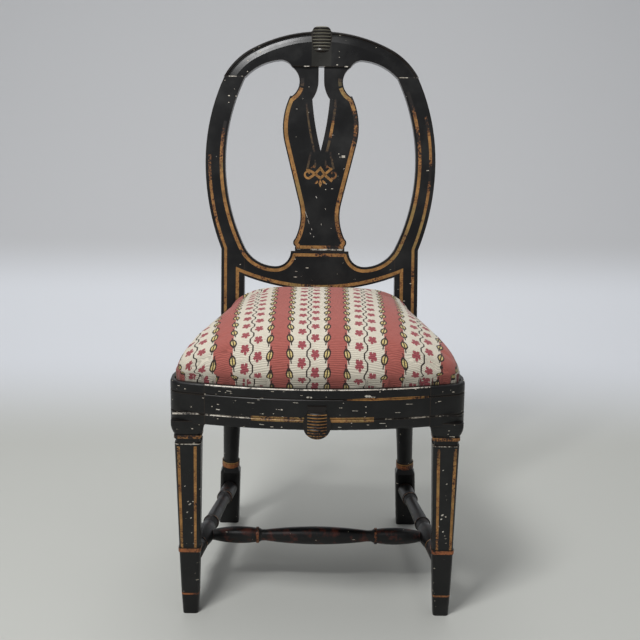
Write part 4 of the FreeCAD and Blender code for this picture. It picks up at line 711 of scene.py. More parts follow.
@dataclass(frozen=True)
class FrontShaftFace(Taper):
    """The front of the leg's tapered shaft, across from its axis and up in Z."""

    def point(self, across: float, z: float, lift: float) -> Vector:
        """Find a point in front of the shaft.

        Args:
            across: Distance from the axis at the shaft's top, which shrinks with the taper.
            z: Height.
            lift: Distance in front of the face.

        Returns:
            The point in metres.
        """
        half = self.half(z)
        return Vector((LEG_X * self.side.value + across * half / (self.top[1] / 2),
                       LEG_Y - half - lift, z)) * MM


@dataclass(frozen=True)
class TurnedFace:
    """Round a turned piece, by share of a turn and distance along its axis."""

    start: Vector
    stop: Vector
    radius: float

    def point(self, share: float, along: float, lift: float) -> Vector:
        """Find a point outside the piece.

        Args:
            share: Share of a turn.
            along: Distance from the start.
            lift: Distance outside the surface.

        Returns:
            The point in metres.
        """
        axis = (self.stop - self.start).normalized()
        side = axis.cross(Vector((0, 0, 1))).normalized()
        over = side.cross(axis)
        angle = share * 2 * math.pi
        spoke = side * math.cos(angle) + over * math.sin(angle)
        return (self.start + axis * along + spoke * (self.radius + lift)) * MM


Face = BackFace | BowFace | BowEdge | SquareFace | FrontShaftFace | TurnedFace


def rear_axis(side: Side, height: float) -> Vector:
    """Find a point on a raked rear leg's axis, in millimetres.

    Args:
        side: Which leg.
        height: How high.

    Returns:
        The point.
    """
    top = Vector((158.3, 350.0 + LEG_Y, RAIL_FOOT - 6.0))
    foot = Vector((171.0, 400.0 + LEG_Y, 0.0))
    spot = top.lerp(foot, (top.z - height) / top.z)
    return Vector((spot.x * side.value, spot.y, height))


@dataclass
class Trace:
    """A line of straight runs and arcs on a face, in millimetres."""

    spots: list[Vector] = field(default_factory=list)
    step: float = 3.0

    @staticmethod
    def ring(place: float, count: int) -> "Trace":
        """Go once round a post or a turned piece.

        Args:
            place: How far along its axis.
            count: The number of steps.

        Returns:
            The trace.
        """
        return Trace([Vector((i / count, place)) for i in range(count + 1)])

    def to(self, x: float, y: float) -> "Trace":
        """Go straight to a point.

        Args:
            x: Across.
            y: Up.

        Returns:
            The same trace.
        """
        end = Vector((x, y))
        if self.spots:
            start = self.spots[-1]
            count = max(1, round((end - start).length / self.step))
            self.spots += [start.lerp(end, i / count) for i in range(1, count + 1)]
        else:
            self.spots.append(end)
        return self

    def arc(self, x: float, y: float, radius: float, bend: int) -> "Trace":
        """Follow a minor arc to a point.

        Args:
            x: Across.
            y: Up.
            radius: The arc's radius.
            bend: 1 to curve to the left and -1 to the right.

        Returns:
            The same trace.
        """
        start, end = self.spots[-1], Vector((x, y))
        chord = end - start
        half = chord.length / 2
        left = Vector((-chord.y, chord.x)).normalized()
        centre = (start + end) / 2 + left * bend * math.sqrt(max(radius * radius - half * half, 0))
        sweep = 2 * math.asin(min(half / radius, 1)) * bend
        count = max(2, round(abs(sweep) * radius / self.step))
        spoke = start - centre
        for i in range(1, count + 1):
            turned = spoke.copy()
            turned.rotate(Matrix.Rotation(sweep * i / count, 2))
            self.spots.append(centre + turned)
        return self

    def lefts(self) -> list[Vector]:
        """Find the direction to the left at each point, mitred at corners.

        Returns:
            The directions.
        """
        result = []
        for i, spot in enumerate(self.spots):
            before = (spot - self.spots[i - 1]).normalized() if i else None
            after = (self.spots[i + 1] - spot).normalized() if i + 1 < len(self.spots) else None
            both = [v for v in (before, after) if v]
            mean = sum(both, Vector((0, 0))).normalized()
            left = Vector((-mean.y, mean.x))
            result.append(left / max(0.5, left.dot(Vector((-both[0].y, both[0].x)))))
        return result

    def beside(self, distance: float) -> "Trace":
        """Copy the trace some way to its left, or to its right if that is negative."""
        return Trace([s + n * distance for s, n in zip(self.spots, self.lefts())])

    def placed(self, side: Side) -> "Trace":
        """Copy the trace, which is drawn for the right, to a side of the chair."""
        return Trace([Vector((s.x * side.value, s.y)) for s in self.spots])

    def between(self, low: float, high: float) -> "Trace":
        """Copy the part of the trace that lies between two heights."""
        return Trace([s for s in self.spots if low <= s.y <= high])


@dataclass(frozen=True)
class Stroke:
    """One line on a face: its middle, its width and wear spread along it, and its section.

    The section is a share of the half width and a height for each of its points.
    """

    face: Face
    trace: Trace
    width: float | Sequence[float]
    worn: Sequence[float]
    section: Sequence[tuple[float, float]] = ((-1.0, 0.0), (1.0, 0.0))
    closed: bool = False


def merged(node: str) -> bmesh.types.BMesh:
    """Copy a CAD node's mesh, which is loose triangles, and merge its doubles.

    Args:
        node: The node.

    Returns:
        The copy.
    """
    bm = bmesh.new()
    bm.from_mesh(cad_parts[node].data)
    bmesh.ops.remove_doubles(bm, verts=bm.verts, dist=MERGE)
    return bm


def put(name: str, bm: bmesh.types.BMesh, smooth: bool = True) -> bpy.types.Object:
    """Put a mesh in the scene.

    Args:
        name: The object's name.
        bm: Its mesh, which is freed.
        smooth: Whether its faces shade smoothly.

    Returns:
        The object.
    """
    mesh = bpy.data.meshes.new(name)
    for face in bm.faces:
        face.smooth = smooth
    bm.to_mesh(mesh)
    bm.free()
    made = bpy.data.objects.new(name, mesh)
    bpy.context.scene.collection.objects.link(made)
    return made


def new_piece(name: str, bm: bmesh.types.BMesh, material: bpy.types.Material, body: str,
              slot: str, smooth: bool = True) -> bpy.types.Object:
    """Make a finished piece from a mesh.

    Args:
        name: The piece's name.
        bm: Its mesh, which is freed.
        material: Its finish.
        body: The CAD body that it rides on.
        slot: Not used.
        smooth: Whether its faces shade smoothly.

    Returns:
        The piece.
    """
    piece = put(name, bm, smooth)
    piece.data.materials.append(material)
    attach(piece, body)
    LOG.info("%s: %d faces", name, len(piece.data.polygons))
    return piece


@dataclass
class LineWork:
    """Ruled lines of gold size, laid a hair above the painted wood."""

    material: bpy.types.Material
    lift: float = 0.12
    thickness: float = 0.3

    def strip(self, stroke: Stroke) -> bmesh.types.BMesh:
        """Model one line.

        Args:
            stroke: The line.

        Returns:
            Its mesh.
        """
        width, trace, face = stroke.width, stroke.trace, stroke.face
        widths = [width] if isinstance(width, (int, float)) else list(width)
        count = len(trace.spots)
        rows = len(stroke.section) - 1
        lefts = trace.lefts()
        bm = bmesh.new()
        bmesh.ops.create_grid(bm, x_segments=count - 1, y_segments=rows, size=0.5)
        layer = bm.verts.layers.float.new("worn")
        for vert in bm.verts:
            share = vert.co.x + 0.5
            i = round(share * (count - 1))
            aside, rise = stroke.section[round((vert.co.y + 0.5) * rows)]
            spot = trace.spots[i] + lefts[i] * (spread(widths, share) / 2 * aside)
            vert[layer] = spread(stroke.worn, share)
            vert.co = face.point(spot.x, spot.y, self.lift + rise)
        if stroke.closed:
            bmesh.ops.remove_doubles(bm, verts=bm.verts, dist=MERGE)
        bm.normal_update()
        first = trace.spots[0]
        outward = face.point(first.x, first.y, 1.0) - face.point(first.x, first.y, 0.0)
        bm.faces.ensure_lookup_table()
        if bm.faces[0].normal.dot(outward) < 0:
            bmesh.ops.reverse_faces(bm, faces=bm.faces)
        bmesh.ops.solidify(bm, geom=bm.faces, thickness=self.thickness * MM)
        return bm

    def piece(self, name: str, strokes: Iterable[Stroke]) -> None:
        """Lay some lines as one piece.

        Args:
            name: The piece's name.
            strokes: The lines in order.
        """
        whole = bmesh.new()
        whole.verts.layers.float.new("worn")
        for stroke in strokes:
            bm = self.strip(stroke)
            mesh = bpy.data.meshes.new("line")
            bm.to_mesh(mesh)
            bm.free()
            whole.from_mesh(mesh)
            bpy.data.meshes.remove(mesh)
        new_piece(name, whole, self.material, CHAIR, "painted_wood", smooth=False)


def spread(values: Sequence[float], share: float) -> float:
    """Read a value from several that are spread evenly along a line.

    Args:
        values: The values.
        share: Share of the way along.

    Returns:
        The value there.
    """
    place = max(0.0, min(1.0, share)) * (len(values) - 1)
    low = int(place)
    high = min(low + 1, len(values) - 1)
    return values[low] + (values[high] - values[low]) * (place - low)


# Sub-assemblies


@dataclass
class OvalBack:
    """The open oval back: stiles, crest, lower rail and pierced splat, with their gold lines."""

    lines: LineWork
    faint: LineWork
    chips: LineWork
    paint: bpy.types.Material
    crest_paint: bpy.types.Material
    face: BackFace = BackFace()
    splat: BackFace = BackFace(depth=5.0)
    # Millimetres: widths, distances from the middle, and heights up the back's slope.
    line: float = 5.8
    line_foot: float = 8.0
    margin: float = 7.0
    outer_margin: tuple[float, float] = (7.8, 9.0)
    post_outer: float = 179.3
    post_inner: float = 137.3
    oval_foot: float = 128.4
    oval_inner_foot: float = 131.0
    oval_height: float = 287.4
    oval_outer: float = 209.1
    oval_inner: float = 173.5
    joint: float = 441.0
    joint_outer: float = 175.5
    joint_inner: float = 138.5
    crest_seam: float = 460.0
    scoop: tuple[float, float] = (81.0, 97.2)
    shoe_height: float = 125.6
    lower_ends: float = 54.4
    lower_crown: float = 79.5
    lower_margin: float = 6.5
    post_margin: float = 12.5
    border: float = 5.6
    border_width: float = 6.6
    stencil_height: float = 268.0

    def build(self) -> None:
        """Lay every line of the back and paint its pieces."""
        self.lines.piece("stile_lines", [s for side in Side for s in self.stile_lines(side)])
        self.lines.piece("cross_rail_lines", self.rail_lines())
        self.lines.piece("splat_lines", self.splat_lines())
        self.faint.piece("splat_faint_lines",
                         [s for side in Side for s in self.faint_lines(side)])
        self.lines.piece("splat_stencil", self.stencil())
        self.chips.piece("back_seam_chips", self.chipped_seams())
        for name in ("rear_post_left", "rear_post_right", "back_cross_rail", "splat"):
            dress(name, self.paint)
        dress("crest_rail", self.crest_paint)

    @staticmethod
    def bend(rise: float, step: float) -> float:
        """Radius of an arc that steps aside by some way over a rise.

        Args:
            rise: Length along its tangent.
            step: Distance aside.

        Returns:
            The radius.
        """
        return (rise * rise + step * step) / (step * 2)

    def stile(self, edge: Trace, oval: float, joint: float) -> Trace:
        """Follow one edge of the right stile up to the crest's joint.

        Args:
            edge: The edge as far as the foot of its curve.
            oval: Its distance from the middle where the oval is widest.
            joint: Its distance at the joint.

        Returns:
            The edge.
        """
        foot, top = edge.spots[-1], self.joint - self.oval_height
        lower = self.bend(self.oval_height - foot.y, oval - foot.x)
        return (edge.arc(oval, self.oval_height, lower, 1)
                .arc(joint, self.joint, self.bend(top, oval - joint), 1))

    def stile_lines(self, side: Side) -> Iterable[Stroke]:
        """Find the lines of one stile and post, rubbed away towards the top.

        Args:
            side: Which one.

        Returns:
            Its lines.
        """
        left = side is Side.LEFT
        post = Trace().to(self.post_outer, self.line_foot).to(self.post_outer, self.oval_foot)
        outer = self.stile(post, self.oval_outer, self.joint_outer)
        kept = outer.beside(self.outer_margin[not left]).between(0.0, 302.0 if left else 374.0)
        yield Stroke(self.face, kept.placed(side), 5.0,
                     (0.1, 0.0, 0.05, 0.0, 0.1, 0.05, 0.2, 0.8) if left else
                     (0.1, 0.0, 0.3, 0.05, 0.1, 0.1, 0.2, 0.85, 0.2, 0.25, 0.8))
        inner = self.stile(Trace().to(self.post_inner, self.oval_inner_foot), self.oval_inner,
                           self.joint_inner)
        kept = inner.beside(-self.margin).between(0.0, 362.0 if left else 418.0)
        yield Stroke(self.face, kept.placed(side), self.line,
                     (0.1, 0.0, 0.0, 0.05, 0.1, 0.25, 0.5, 0.85) if left else
                     (0.1, 0.1, 0.0, 0.05, 0.0, 0.1, 0.45, 0.6, 0.2, 0.6, 0.85))

    def rail_lines(self) -> Iterable[Stroke]:
        """Find the lines along both edges of the lower rail.

        Returns:
            Its lines.
        """
        for side in Side:
            yield Stroke(self.face, self.scoop_line().placed(side), self.line,
                         (0.2, 0.05, 0.0, 0.0, 0.1, 0.05, 0.3))
        yield Stroke(self.face, self.lower_line(), self.line, (0.1, 0.0, 0.2, 0.0, 0.1))

    def scoop_line(self) -> Trace:
        """Find the line that runs from the right stile through the scoop to the shoe's middle.

        Returns:
            The line.
        """
        x, y = self.scoop
        flank = self.shoe_height - y
        edge = (Trace().to(self.post_inner, self.oval_inner_foot)
                .arc(x, y, self.bend(self.post_inner - x, self.oval_inner_foot - y), -1)
                .arc(x - flank, self.shoe_height, flank, -1))
        inset = edge.beside(self.margin)
        top = self.shoe_height - self.margin
        inset.spots = [s for s in inset.spots if s.y < top or s.x > 100]
        return inset.to(x - flank - self.margin, top).to(-0.5, top)

    def lower_line(self) -> Trace:
        """Find the line along the lower edge, which turns down both posts.

        Returns:
            The line.
        """
        belly = self.bend(self.post_inner, self.lower_crown - self.lower_ends)
        x = self.post_inner + self.post_margin
        radius = belly - self.lower_margin
        up = self.lower_ends + belly - math.sqrt(radius ** 2 - x * x)
        return Trace().to(-x, self.line_foot).to(-x, up).arc(x, up, radius, 1).to(
            x, self.line_foot)

    def splat_border(self) -> Trace:
        """Find the line inside the splat's right edge, over the step and up the arm.

        Returns:
            The line.
        """
        slope = math.radians(14.0)
        lift = 1 - math.cos(slope)
        foot_half, foot_height, bump_height, bump = 45.3, 134.0, 148.0, 9.0
        waist_half, waist_height, waist = 35.7, 189.5, 95.0
        belly_half, belly_height, step = 69.1, 351.0, 407.0
        arm_foot, arm_half, arm_bend = 3.4, 53.8, 32.2
        rise, swell = belly_height - waist_height, belly_half - waist_half
        both = (rise * math.tan(slope) - swell) / (math.sin(slope) * math.tan(slope) - lift)
        belly = both - waist
        bump_x = waist_half + waist - math.sqrt(waist ** 2 - (waist_height - bump_height) ** 2)
        step_x = belly_half - belly + math.sqrt(belly ** 2 - (step - belly_height) ** 2)
        vase = (Trace().to(foot_half, foot_height - 4.0).to(foot_half, foot_height)
                .arc(bump_x, bump_height, bump, 1)
                .arc(waist_half + waist * lift, waist_height + waist * math.sin(slope), waist, -1)
                .to(belly_half - belly * lift, belly_height - belly * math.sin(slope))
                .arc(step_x, step, belly, 1))
        arm = Trace().to(step_x - arm_foot, step).arc(arm_half, self.crest_seam, arm_bend, -1)
        spots = [*vase.beside(self.border).between(0.0, step - 6.0).spots,
                 *arm.beside(self.border).between(step - 1.0, step + 34.0).spots]
        return Trace([s for i, s in enumerate(spots)
                      if i == 0 or (s - spots[i - 1]).length > 0.5])

    def splat_lines(self) -> Iterable[Stroke]:
        """Find the borders, what is left bright beside the slit, and the line at the foot.

        Returns:
            The lines.
        """
        for side, worn in (
                (Side.LEFT, (0.35, 0.3, 0.05, 0.0, 0.05, 0.0, 0.0, 0.0, 0.0, 0.05, 0.1)),
                (Side.RIGHT, (0.3, 0.2, 0.1, 0.05, 0.05, 0.1, 0.15, 0.45, 0.5, 0.25, 0.2))):
            yield Stroke(self.splat, self.splat_border().between(0.0, 424.0).placed(side),
                         self.border_width, worn)
        yield Stroke(self.splat, self.slit_line().between(331.0, 366.0), 5.0,
                     (0.5, 0.0, 0.0, 0.05, 0.5))
        yield Stroke(self.splat, Trace().to(-38.0, 132.8).to(38.0, 132.8), self.line,
                     (0.0, 0.05, 0.1, 0.0, 0.35, 0.8, 0.3))

    def slit_line(self) -> Trace:
        """Find the line that runs beside the slit's right edge."""
        return Trace().to(0.3, 308.0).arc(15.9, 402.0, 546.0, 1).beside(-11.0)

    def faint_lines(self, side: Side) -> Iterable[Stroke]:
        """Find the lines of one half of the splat that are worn to a ghost.

        Args:
            side: Which one.

        Returns:
            Its lines.
        """
        y0 = self.stencil_height
        slit = (((302.0, 396.0, 3.4, (0.2, 0.0, 0.1, 0.0, 0.2, 0.6)),) if side is Side.LEFT else
                ((302.0, 332.0, 4.4, (0.3, 0.0, 0.1, 0.6)),
                 (364.0, 402.0, 4.4, (0.2, 0.1, 0.4, 0.7))))
        for trace, width, worn in (
                (self.splat_border().between(422.0, 446.0), 6.0, (0.1, 0.2, 0.5, 0.8)),
                (Trace(step=2.0).to(24.0, y0 + 7.0).to(20.5, y0 + 24.0).to(17.0, y0 + 38.0),
                 3.8, (0.0, 0.1, 0.3, 0.5)),
                (Trace(step=2.0).to(9.5, y0 + 12.0).to(9.5, y0 + 24.0), 3.0, (0.3, 0.5)),
                *((self.slit_line().between(low, high), width, worn)
                  for low, high, width, worn in slit)):
            yield Stroke(self.splat, trace.placed(side), width, worn)

    def stencil(self) -> Iterable[Stroke]:
        """Find the stencilled strapwork and its palmette under the slit.

        Returns:
            Their lines.
        """
        y0 = self.stencil_height
        for spots, worn in (
                (((-25.5, 6.5), (-13.6, 1.0), (0.0, -9.4), (12.1, 1.0), (21.0, 8.6)),
                 (0.15, 0.05, 0.0, 0.1)),
                (((21.5, -15.0), (10.6, -6.2), (0.0, 8.6), (-10.6, -2.6), (-20.5, -9.6)),
                 (0.1, 0.0, 0.05, 0.1))):
            strap = Trace(step=1.5)
            for x, y in spots:
                strap.to(x, y0 + y)
            yield Stroke(self.splat, strap, 4.6, worn)
        for s, turn in ((-1, 0.05), (1, 0.4)):
            curl = (Trace(step=1.0).to(s * 19.6, y0 - 9.2).arc(s * 28.4, y0 - 3.4, 6.4, s)
                    .arc(s * 23.5, y0 + 2.0, 4.8, s).arc(s * 20.6, y0 - 1.8, 2.8, s))
            yield Stroke(self.splat, curl, (4.2, 3.6, 2.8, 2.0), (turn, turn + 0.1))
            small = (Trace(step=1.0).to(s * 17.0, y0 + 8.5).arc(s * 10.5, y0 + 10.0, 4.0, s)
                     .arc(s * 13.0, y0 + 13.5, 2.4, -s))
            yield Stroke(self.splat, small, (1.6, 2.2, 1.4), (0.35, 0.5))
            petal = Trace(step=1.0).to(s * 4.4, y0 - 13.2).arc(s * 10.4, y0 - 19.0, 8.4, s)
            yield Stroke(self.splat, petal, (1.2, 3.8, 4.0, 1.2), (0.1, 0.15))
        drop = Trace(step=1.0).to(0.0, y0 - 12.8).to(0.0, y0 - 25.6)
        yield Stroke(self.splat, drop, (1.6, 4.2, 6.4, 3.6, 0.8), (0.05, 0.1))

    def chipped_seams(self) -> Iterable[Stroke]:
        """Find the pale ground that shows where the paint has chipped along the joints.

        Returns:
            The chips.
        """
        face, splat, seam = self.face, self.splat, self.crest_seam
        for where, x0, x1, up, width, worn in (
                (face, -172.0, -142.0, self.joint, 1.5, (0.7, 0.0, 0.0, 0.4, 0.9, 0.3)),
                (face, 141.0, 174.0, self.joint, 1.4, (0.4, 0.1, 0.3, 0.8, 0.6, 0.3)),
                (face, -33.0, -20.0, seam, 1.8, (0.5, 0.0, 0.0, 0.5)),
                (face, 42.0, 48.0, seam, 1.8, (0.3, 0.1, 0.3)),
                (face, 27.0, 30.0, seam + 3, 1.6, (0.2, 0.3)),
                (splat, -44.0, -20.0, 128.6, 1.2, (0.5, 0.9, 0.8)),
                (splat, -20.0, 44.0, 128.4, 2.8, (0.8, 0.1, 0.3, 0.0, 0.2, 0.3, 0.1, 0.5)),
                (splat, 38.4, 44.6, 298.0, 4.2, (-0.4, -0.4)),
                (splat, 34.6, 36.0, 297.0, 1.4, (-0.4, -0.4))):
            yield Stroke(where, Trace(step=1.0).to(x0, up).to(x1, up), width, worn)
        # Scratches across the splat's waist.
        for x0, up0, x1, up1 in ((-27.0, 198.0, -23.0, 186.0), (-22.0, 183.0, -19.5, 175.0),
                                 (-15.5, 167.0, -14.5, 164.0), (-18.0, 159.0, -16.5, 156.0),
                                 (-12.0, 153.0, -10.5, 151.0), (9.0, 204.0, 10.5, 201.0),
                                 (2.0, 176.0, 3.0, 173.0), (-8.0, 226.0, -6.0, 222.0)):
            yield Stroke(splat, Trace(step=1.0).to(x0, up0).to(x1, up1), (0.4, 1.1, 0.4),
                         (-0.3, 0.1, -0.3))


@dataclass
class SeatFrame:
    """The bowed seat frame with its lines and worn upper edge."""

    lines: LineWork
    chips: LineWork
    paint: bpy.types.Material
    inner: bpy.types.Material
    face: BowFace = BowFace()
    upper: float = 389.0
    lower: float = 355.6
    groove: float = 1.4
    block: float = 57.4
    block_inner: float = 179.9
    # Place across, height, half length and width of each chip on the rail's face.
    marks: tuple[tuple[float, float, float, float], ...] = (
        (-12.6, 393.2, 5.0, 3.2), (80.0, 394.6, 5.4, 4.2), (88.0, 393.0, 4.0, 1.4),
        (-62.0, 372.0, 3.4, 1.3), (128.0, 366.0, 4.0, 1.0), (-140.0, 398.0, 4.6, 1.2),
        (36.0, 344.0, 3.0, 1.2), (-105.0, 381.0, 6.0, 0.9), (-158.0, 366.0, 3.4, 1.8),
        (146.0, 379.0, 5.6, 1.0), (-34.0, 384.0, 4.4, 0.9), (60.0, 371.0, 5.0, 0.8),
        (-88.0, 346.0, 4.0, 1.0), (104.0, 349.0, 5.0, 0.9))

    def build(self) -> None:
        """Lay the rail's lines and paint the frame."""
        self.lines.piece("front_rail_lines", self.sunk_lines())
        self.chips.piece("front_rail_chips", self.worn_places())
        for name in ("front_rail", "side_rail_left", "side_rail_right", "rear_rail"):
            dress(name, self.paint)
        for end in ("front", "rear"):
            for side in Side:
                dress(f"corner_block_{end}_{side.name.lower()}", self.inner)

    def sunk_lines(self) -> Iterable[Stroke]:
        """Find the gold lines that dip into the rail's two grooves.

        Returns:
            The lines.
        """
        dip = self.groove / 4
        section = ((-1.0, 0.0), (-dip, 0.0), (0.0, -self.groove), (dip, 0.0), (1.0, 0.0))
        for x0, x1, height, width, worn in (
                (-105.0, -20.0, self.lower, 8.0, (0.3, 0.1, 0.15, 0.0, 0.25, 0.1, 0.25)),
                (20.0, 90.0, self.lower, 8.0, (0.1, 0.0, 0.2, 0.1, 0.3, 0.4)),
                (40.0, 177.0, self.upper, (1.5, 3.0, 4.4, 3.6, 4.8, 4.0, 3.0),
                 (0.7, 0.2, 0.3, 0.0, 0.25, 0.0, 0.1, 0.4))):
            yield Stroke(self.face, Trace().to(x0, height).to(x1, height), width, worn, section)

    def worn_places(self) -> Iterable[Stroke]:
        """Find the rubbed upper edge, the bare ends of the lower groove and the chips.

        Returns:
            Their lines.
        """
        end = self.block_inner - 1.0
        yield Stroke(BowEdge(), Trace().to(-end, 3.4).to(end, 3.4), 2.0,
                     (0.3, 0.1, 0.2, 0.0, 0.25, 0.05, 0.2, 0.1, 0.3, 0.0, 0.2))
        deep = ((-1.0, -0.2), (0.0, -self.groove), (1.0, -0.2))
        for side, width, wear in ((Side.LEFT, 2.2, 0.1), (Side.RIGHT, 1.6, 0.3)):
            run = Trace().to(108.0, self.lower).to(end, self.lower).placed(side)
            yield Stroke(self.face, run, width, (wear, wear + 0.2, wear, wear + 0.1), deep)
            block = SquareFace(side, (RAIL_FOOT, self.block), (RAIL_TOP, self.block))
            run = Trace(step=0.01).to(-0.105, self.lower).to(0.105, self.lower)
            yield Stroke(block, run, width, (wear, wear + 0.3, wear), deep)
        for x, z, half, width in self.marks:
            yield Stroke(self.face, Trace(step=1.0).to(x - half, z).to(x + half, z - 0.5),
                         (0.3, width, width * 0.7, width * 0.9, 0.2), (-0.4, 0.2, -0.4))


@dataclass
class Legs:
    """Square tapered front legs and raked rear legs with their gold bands and lines."""

    lines: LineWork
    reddened: LineWork
    chips: LineWork
    paint: bpy.types.Material
    # Height and width at both ends of each stretch of a front leg.
    foot: tuple[tuple[float, float], tuple[float, float]] = ((0.0, 25.5), (38.0, 29.6))
    cuff: tuple[tuple[float, float], tuple[float, float]] = ((112.0, 36.8), (119.0, 36.8))
    shaft: tuple[tuple[float, float], tuple[float, float]] = ((119.0, 34.2), (302.3, 42.9))
    ring: tuple[tuple[float, float], tuple[float, float]] = ((309.9, 44.6), (316.9, 44.6))
    # Place across, height and half length of the pale chips on each shaft.
    left_chips: tuple[tuple[float, float, float], ...] = (
        (-3.0, 182.0, 1.6), (2.0, 196.0, 2.4), (-1.0, 201.0, 1.4), (4.0, 172.0, 1.6),
        (-6.0, 228.0, 1.2), (5.0, 146.0, 1.0))
    right_chips: tuple[tuple[float, float, float], ...] = (
        (-3.0, 181.0, 2.4), (-5.0, 174.0, 1.8), (3.0, 236.0, 1.4), (-1.0, 152.0, 1.6),
        (-4.0, 260.0, 1.2), (6.0, 132.0, 1.0))
    collar: tuple[float, float] = (118.0, 131.0)
    collar_radius: float = 16.4

    def build(self) -> None:
        """Lay the bands and lines of all four legs and paint the front ones."""
        for side in Side:
            name = side.name.lower()
            self.lines.piece(f"front_leg_lines_{name}", self.shaft_lines(side))
            self.reddened.piece(f"front_leg_cuff_{name}", [
                self.band(SquareFace(side, *self.foot), 36.2, 3.0, (0.15, 0.4, 0.5, 0.4, 0.2)),
                self.band(SquareFace(side, *self.cuff), 115.5, 6.2,
                          (0.2, 0.3, 0.5, 0.5, 0.5, 0.3, 0.2))])
            self.chips.piece(f"front_leg_chips_{name}", self.pale_marks(side))
            dress(f"front_leg_{name}", self.paint)
            # A rear leg's collar is a pale rim over a reddened band.
            face = TurnedFace(*(rear_axis(side, height) for height in self.collar),
                              self.collar_radius)
            self.reddened.piece(f"rear_leg_band_{name}", [
                Stroke(face, Trace.ring(5.6, 48), 8.4, (0.1, 0.3, 0.5, 0.3, 0.1), closed=True)])
            self.lines.piece(f"rear_leg_rim_{name}", [
                Stroke(face, Trace.ring(11.6, 48), 2.4, (0.0, 0.1, 0.3, 0.1, 0.0), closed=True)])

    @staticmethod
    def band(face: SquareFace, z: float, width: float, worn: Sequence[float]) -> Stroke:
        """Draw a band round a front leg, rubbed on its way round."""
        return Stroke(face, Trace.ring(z, 96), width, worn, closed=True)

    def shaft_lines(self, side: Side) -> Iterable[Stroke]:
        """Find the two lines down a front leg's shaft and the ring above them.

        Args:
            side: Which leg.

        Returns:
            Its lines.
        """
        for across in (15.2 * side.value, -12.2 * side.value):
            yield Stroke(FrontShaftFace(side, *self.shaft),
                         Trace().to(across, 120.0).to(across, 297.5), 4.9,
                         (0.2, 0.1, 0.0, 0.1, 0.05, 0.2, 0.3))
        yield self.band(SquareFace(side, *self.ring), 313.4, 5.0,
                        (0.5, 0.25, 0.6, 0.55, 0.6, 0.3, 0.4))

    def pale_marks(self, side: Side) -> Iterable[Stroke]:
        """Find the pale line round the shaft's top, wear and a painted highlight together, and the
        chips below it.

        Args:
            side: Which leg.

        Returns:
            Its marks.
        """
        # A pale line round the shaft's top: wear and a painted highlight on its ledge.
        yield self.band(SquareFace(side, *self.shaft), 301.2, 1.3,
                        (0.2, 0.35, 0.7, 0.8, 0.7, 0.3, 0.25))
        for across, z, half in self.left_chips if side is Side.LEFT else self.right_chips:
            yield Stroke(FrontShaftFace(side, *self.shaft),
                         Trace(step=1.0).to(across - half, z).to(across + half, z + half),
                         (0.5, half * 1.4, 0.4), (-0.3, 0.1, -0.3))


@dataclass
class Stretchers:
    """Turned stretchers with rubbed gold rings."""

    lines: LineWork
    reddened: LineWork
    paint: bpy.types.Material
    cross_paint: bpy.types.Material
    ring_radius: float = 14.0
    ring_shares: tuple[float, float, float] = (0.14, 0.449, 0.83)
    bulb_share: float = 0.28
    bulb_radius: float = 17.0
    cross_ring_share: float = 0.205
    # Where the side stretchers meet the legs, and the front leg's height and width below them
    # and above.
    front_x: float = 205.6
    front_height: float = 92.5
    front_foot: tuple[float, float] = (38.0, 29.6)
    front_top: tuple[float, float] = (112.0, 34.2)
    rear_height: float = 76.0
    rear_half: float = 18.5

    def build(self) -> None:
        """Lay the rings and paint the stretchers."""
        for side in Side:
            start, stop = self.ends(side)
            length = (stop - start).length
            places = [length * share + 2.5 for share in self.ring_shares]
            self.lines.piece(f"side_stretcher_rings_{side.name.lower()}",
                             self.rings(start, stop, places, 1.8))
            dress(f"side_stretcher_{side.name.lower()}", self.paint)
        # The cross stretcher runs between the side stretchers' bulbs.
        left, right = (start.lerp(stop, self.bulb_share)
                       for start, stop in (self.ends(side) for side in Side))
        length = (right - left).length
        ring = self.bulb_radius + (length - self.bulb_radius * 2) * self.cross_ring_share
        self.reddened.piece("cross_stretcher_rings", self.rings(
            left, right, (ring + 2.5, length - ring - 2.5), 4.6))
        dress("cross_stretcher", self.cross_paint)

    def rings(self, start: Vector, stop: Vector, places: Iterable[float],
              width: float) -> Iterable[Stroke]:
        """Find the rings of one stretcher.

        Args:
            start: One end of its axis.
            stop: The other end.
            places: How far along each ring's middle is.
            width: Their width.

        Returns:
            The rings.
        """
        face = TurnedFace(start, stop, self.ring_radius)
        for place in places:
            yield Stroke(face, Trace.ring(place, 48), width, (0.3, 0.5, 0.2, 0.6, 0.3),
                         closed=True)

    def ends(self, side: Side) -> tuple[Vector, Vector]:
        """Find the ends of a side stretcher's axis.

        Args:
            side: Which one.

        Returns:
            Its front and rear ends.
        """
        half = Taper(side, self.front_foot, self.front_top).half(self.front_height)
        rear = rear_axis(side, self.rear_height)
        return (Vector((side.value * self.front_x, LEG_Y + half, self.front_height)),
                Vector((rear.x, rear.y - self.rear_half, rear.z)))


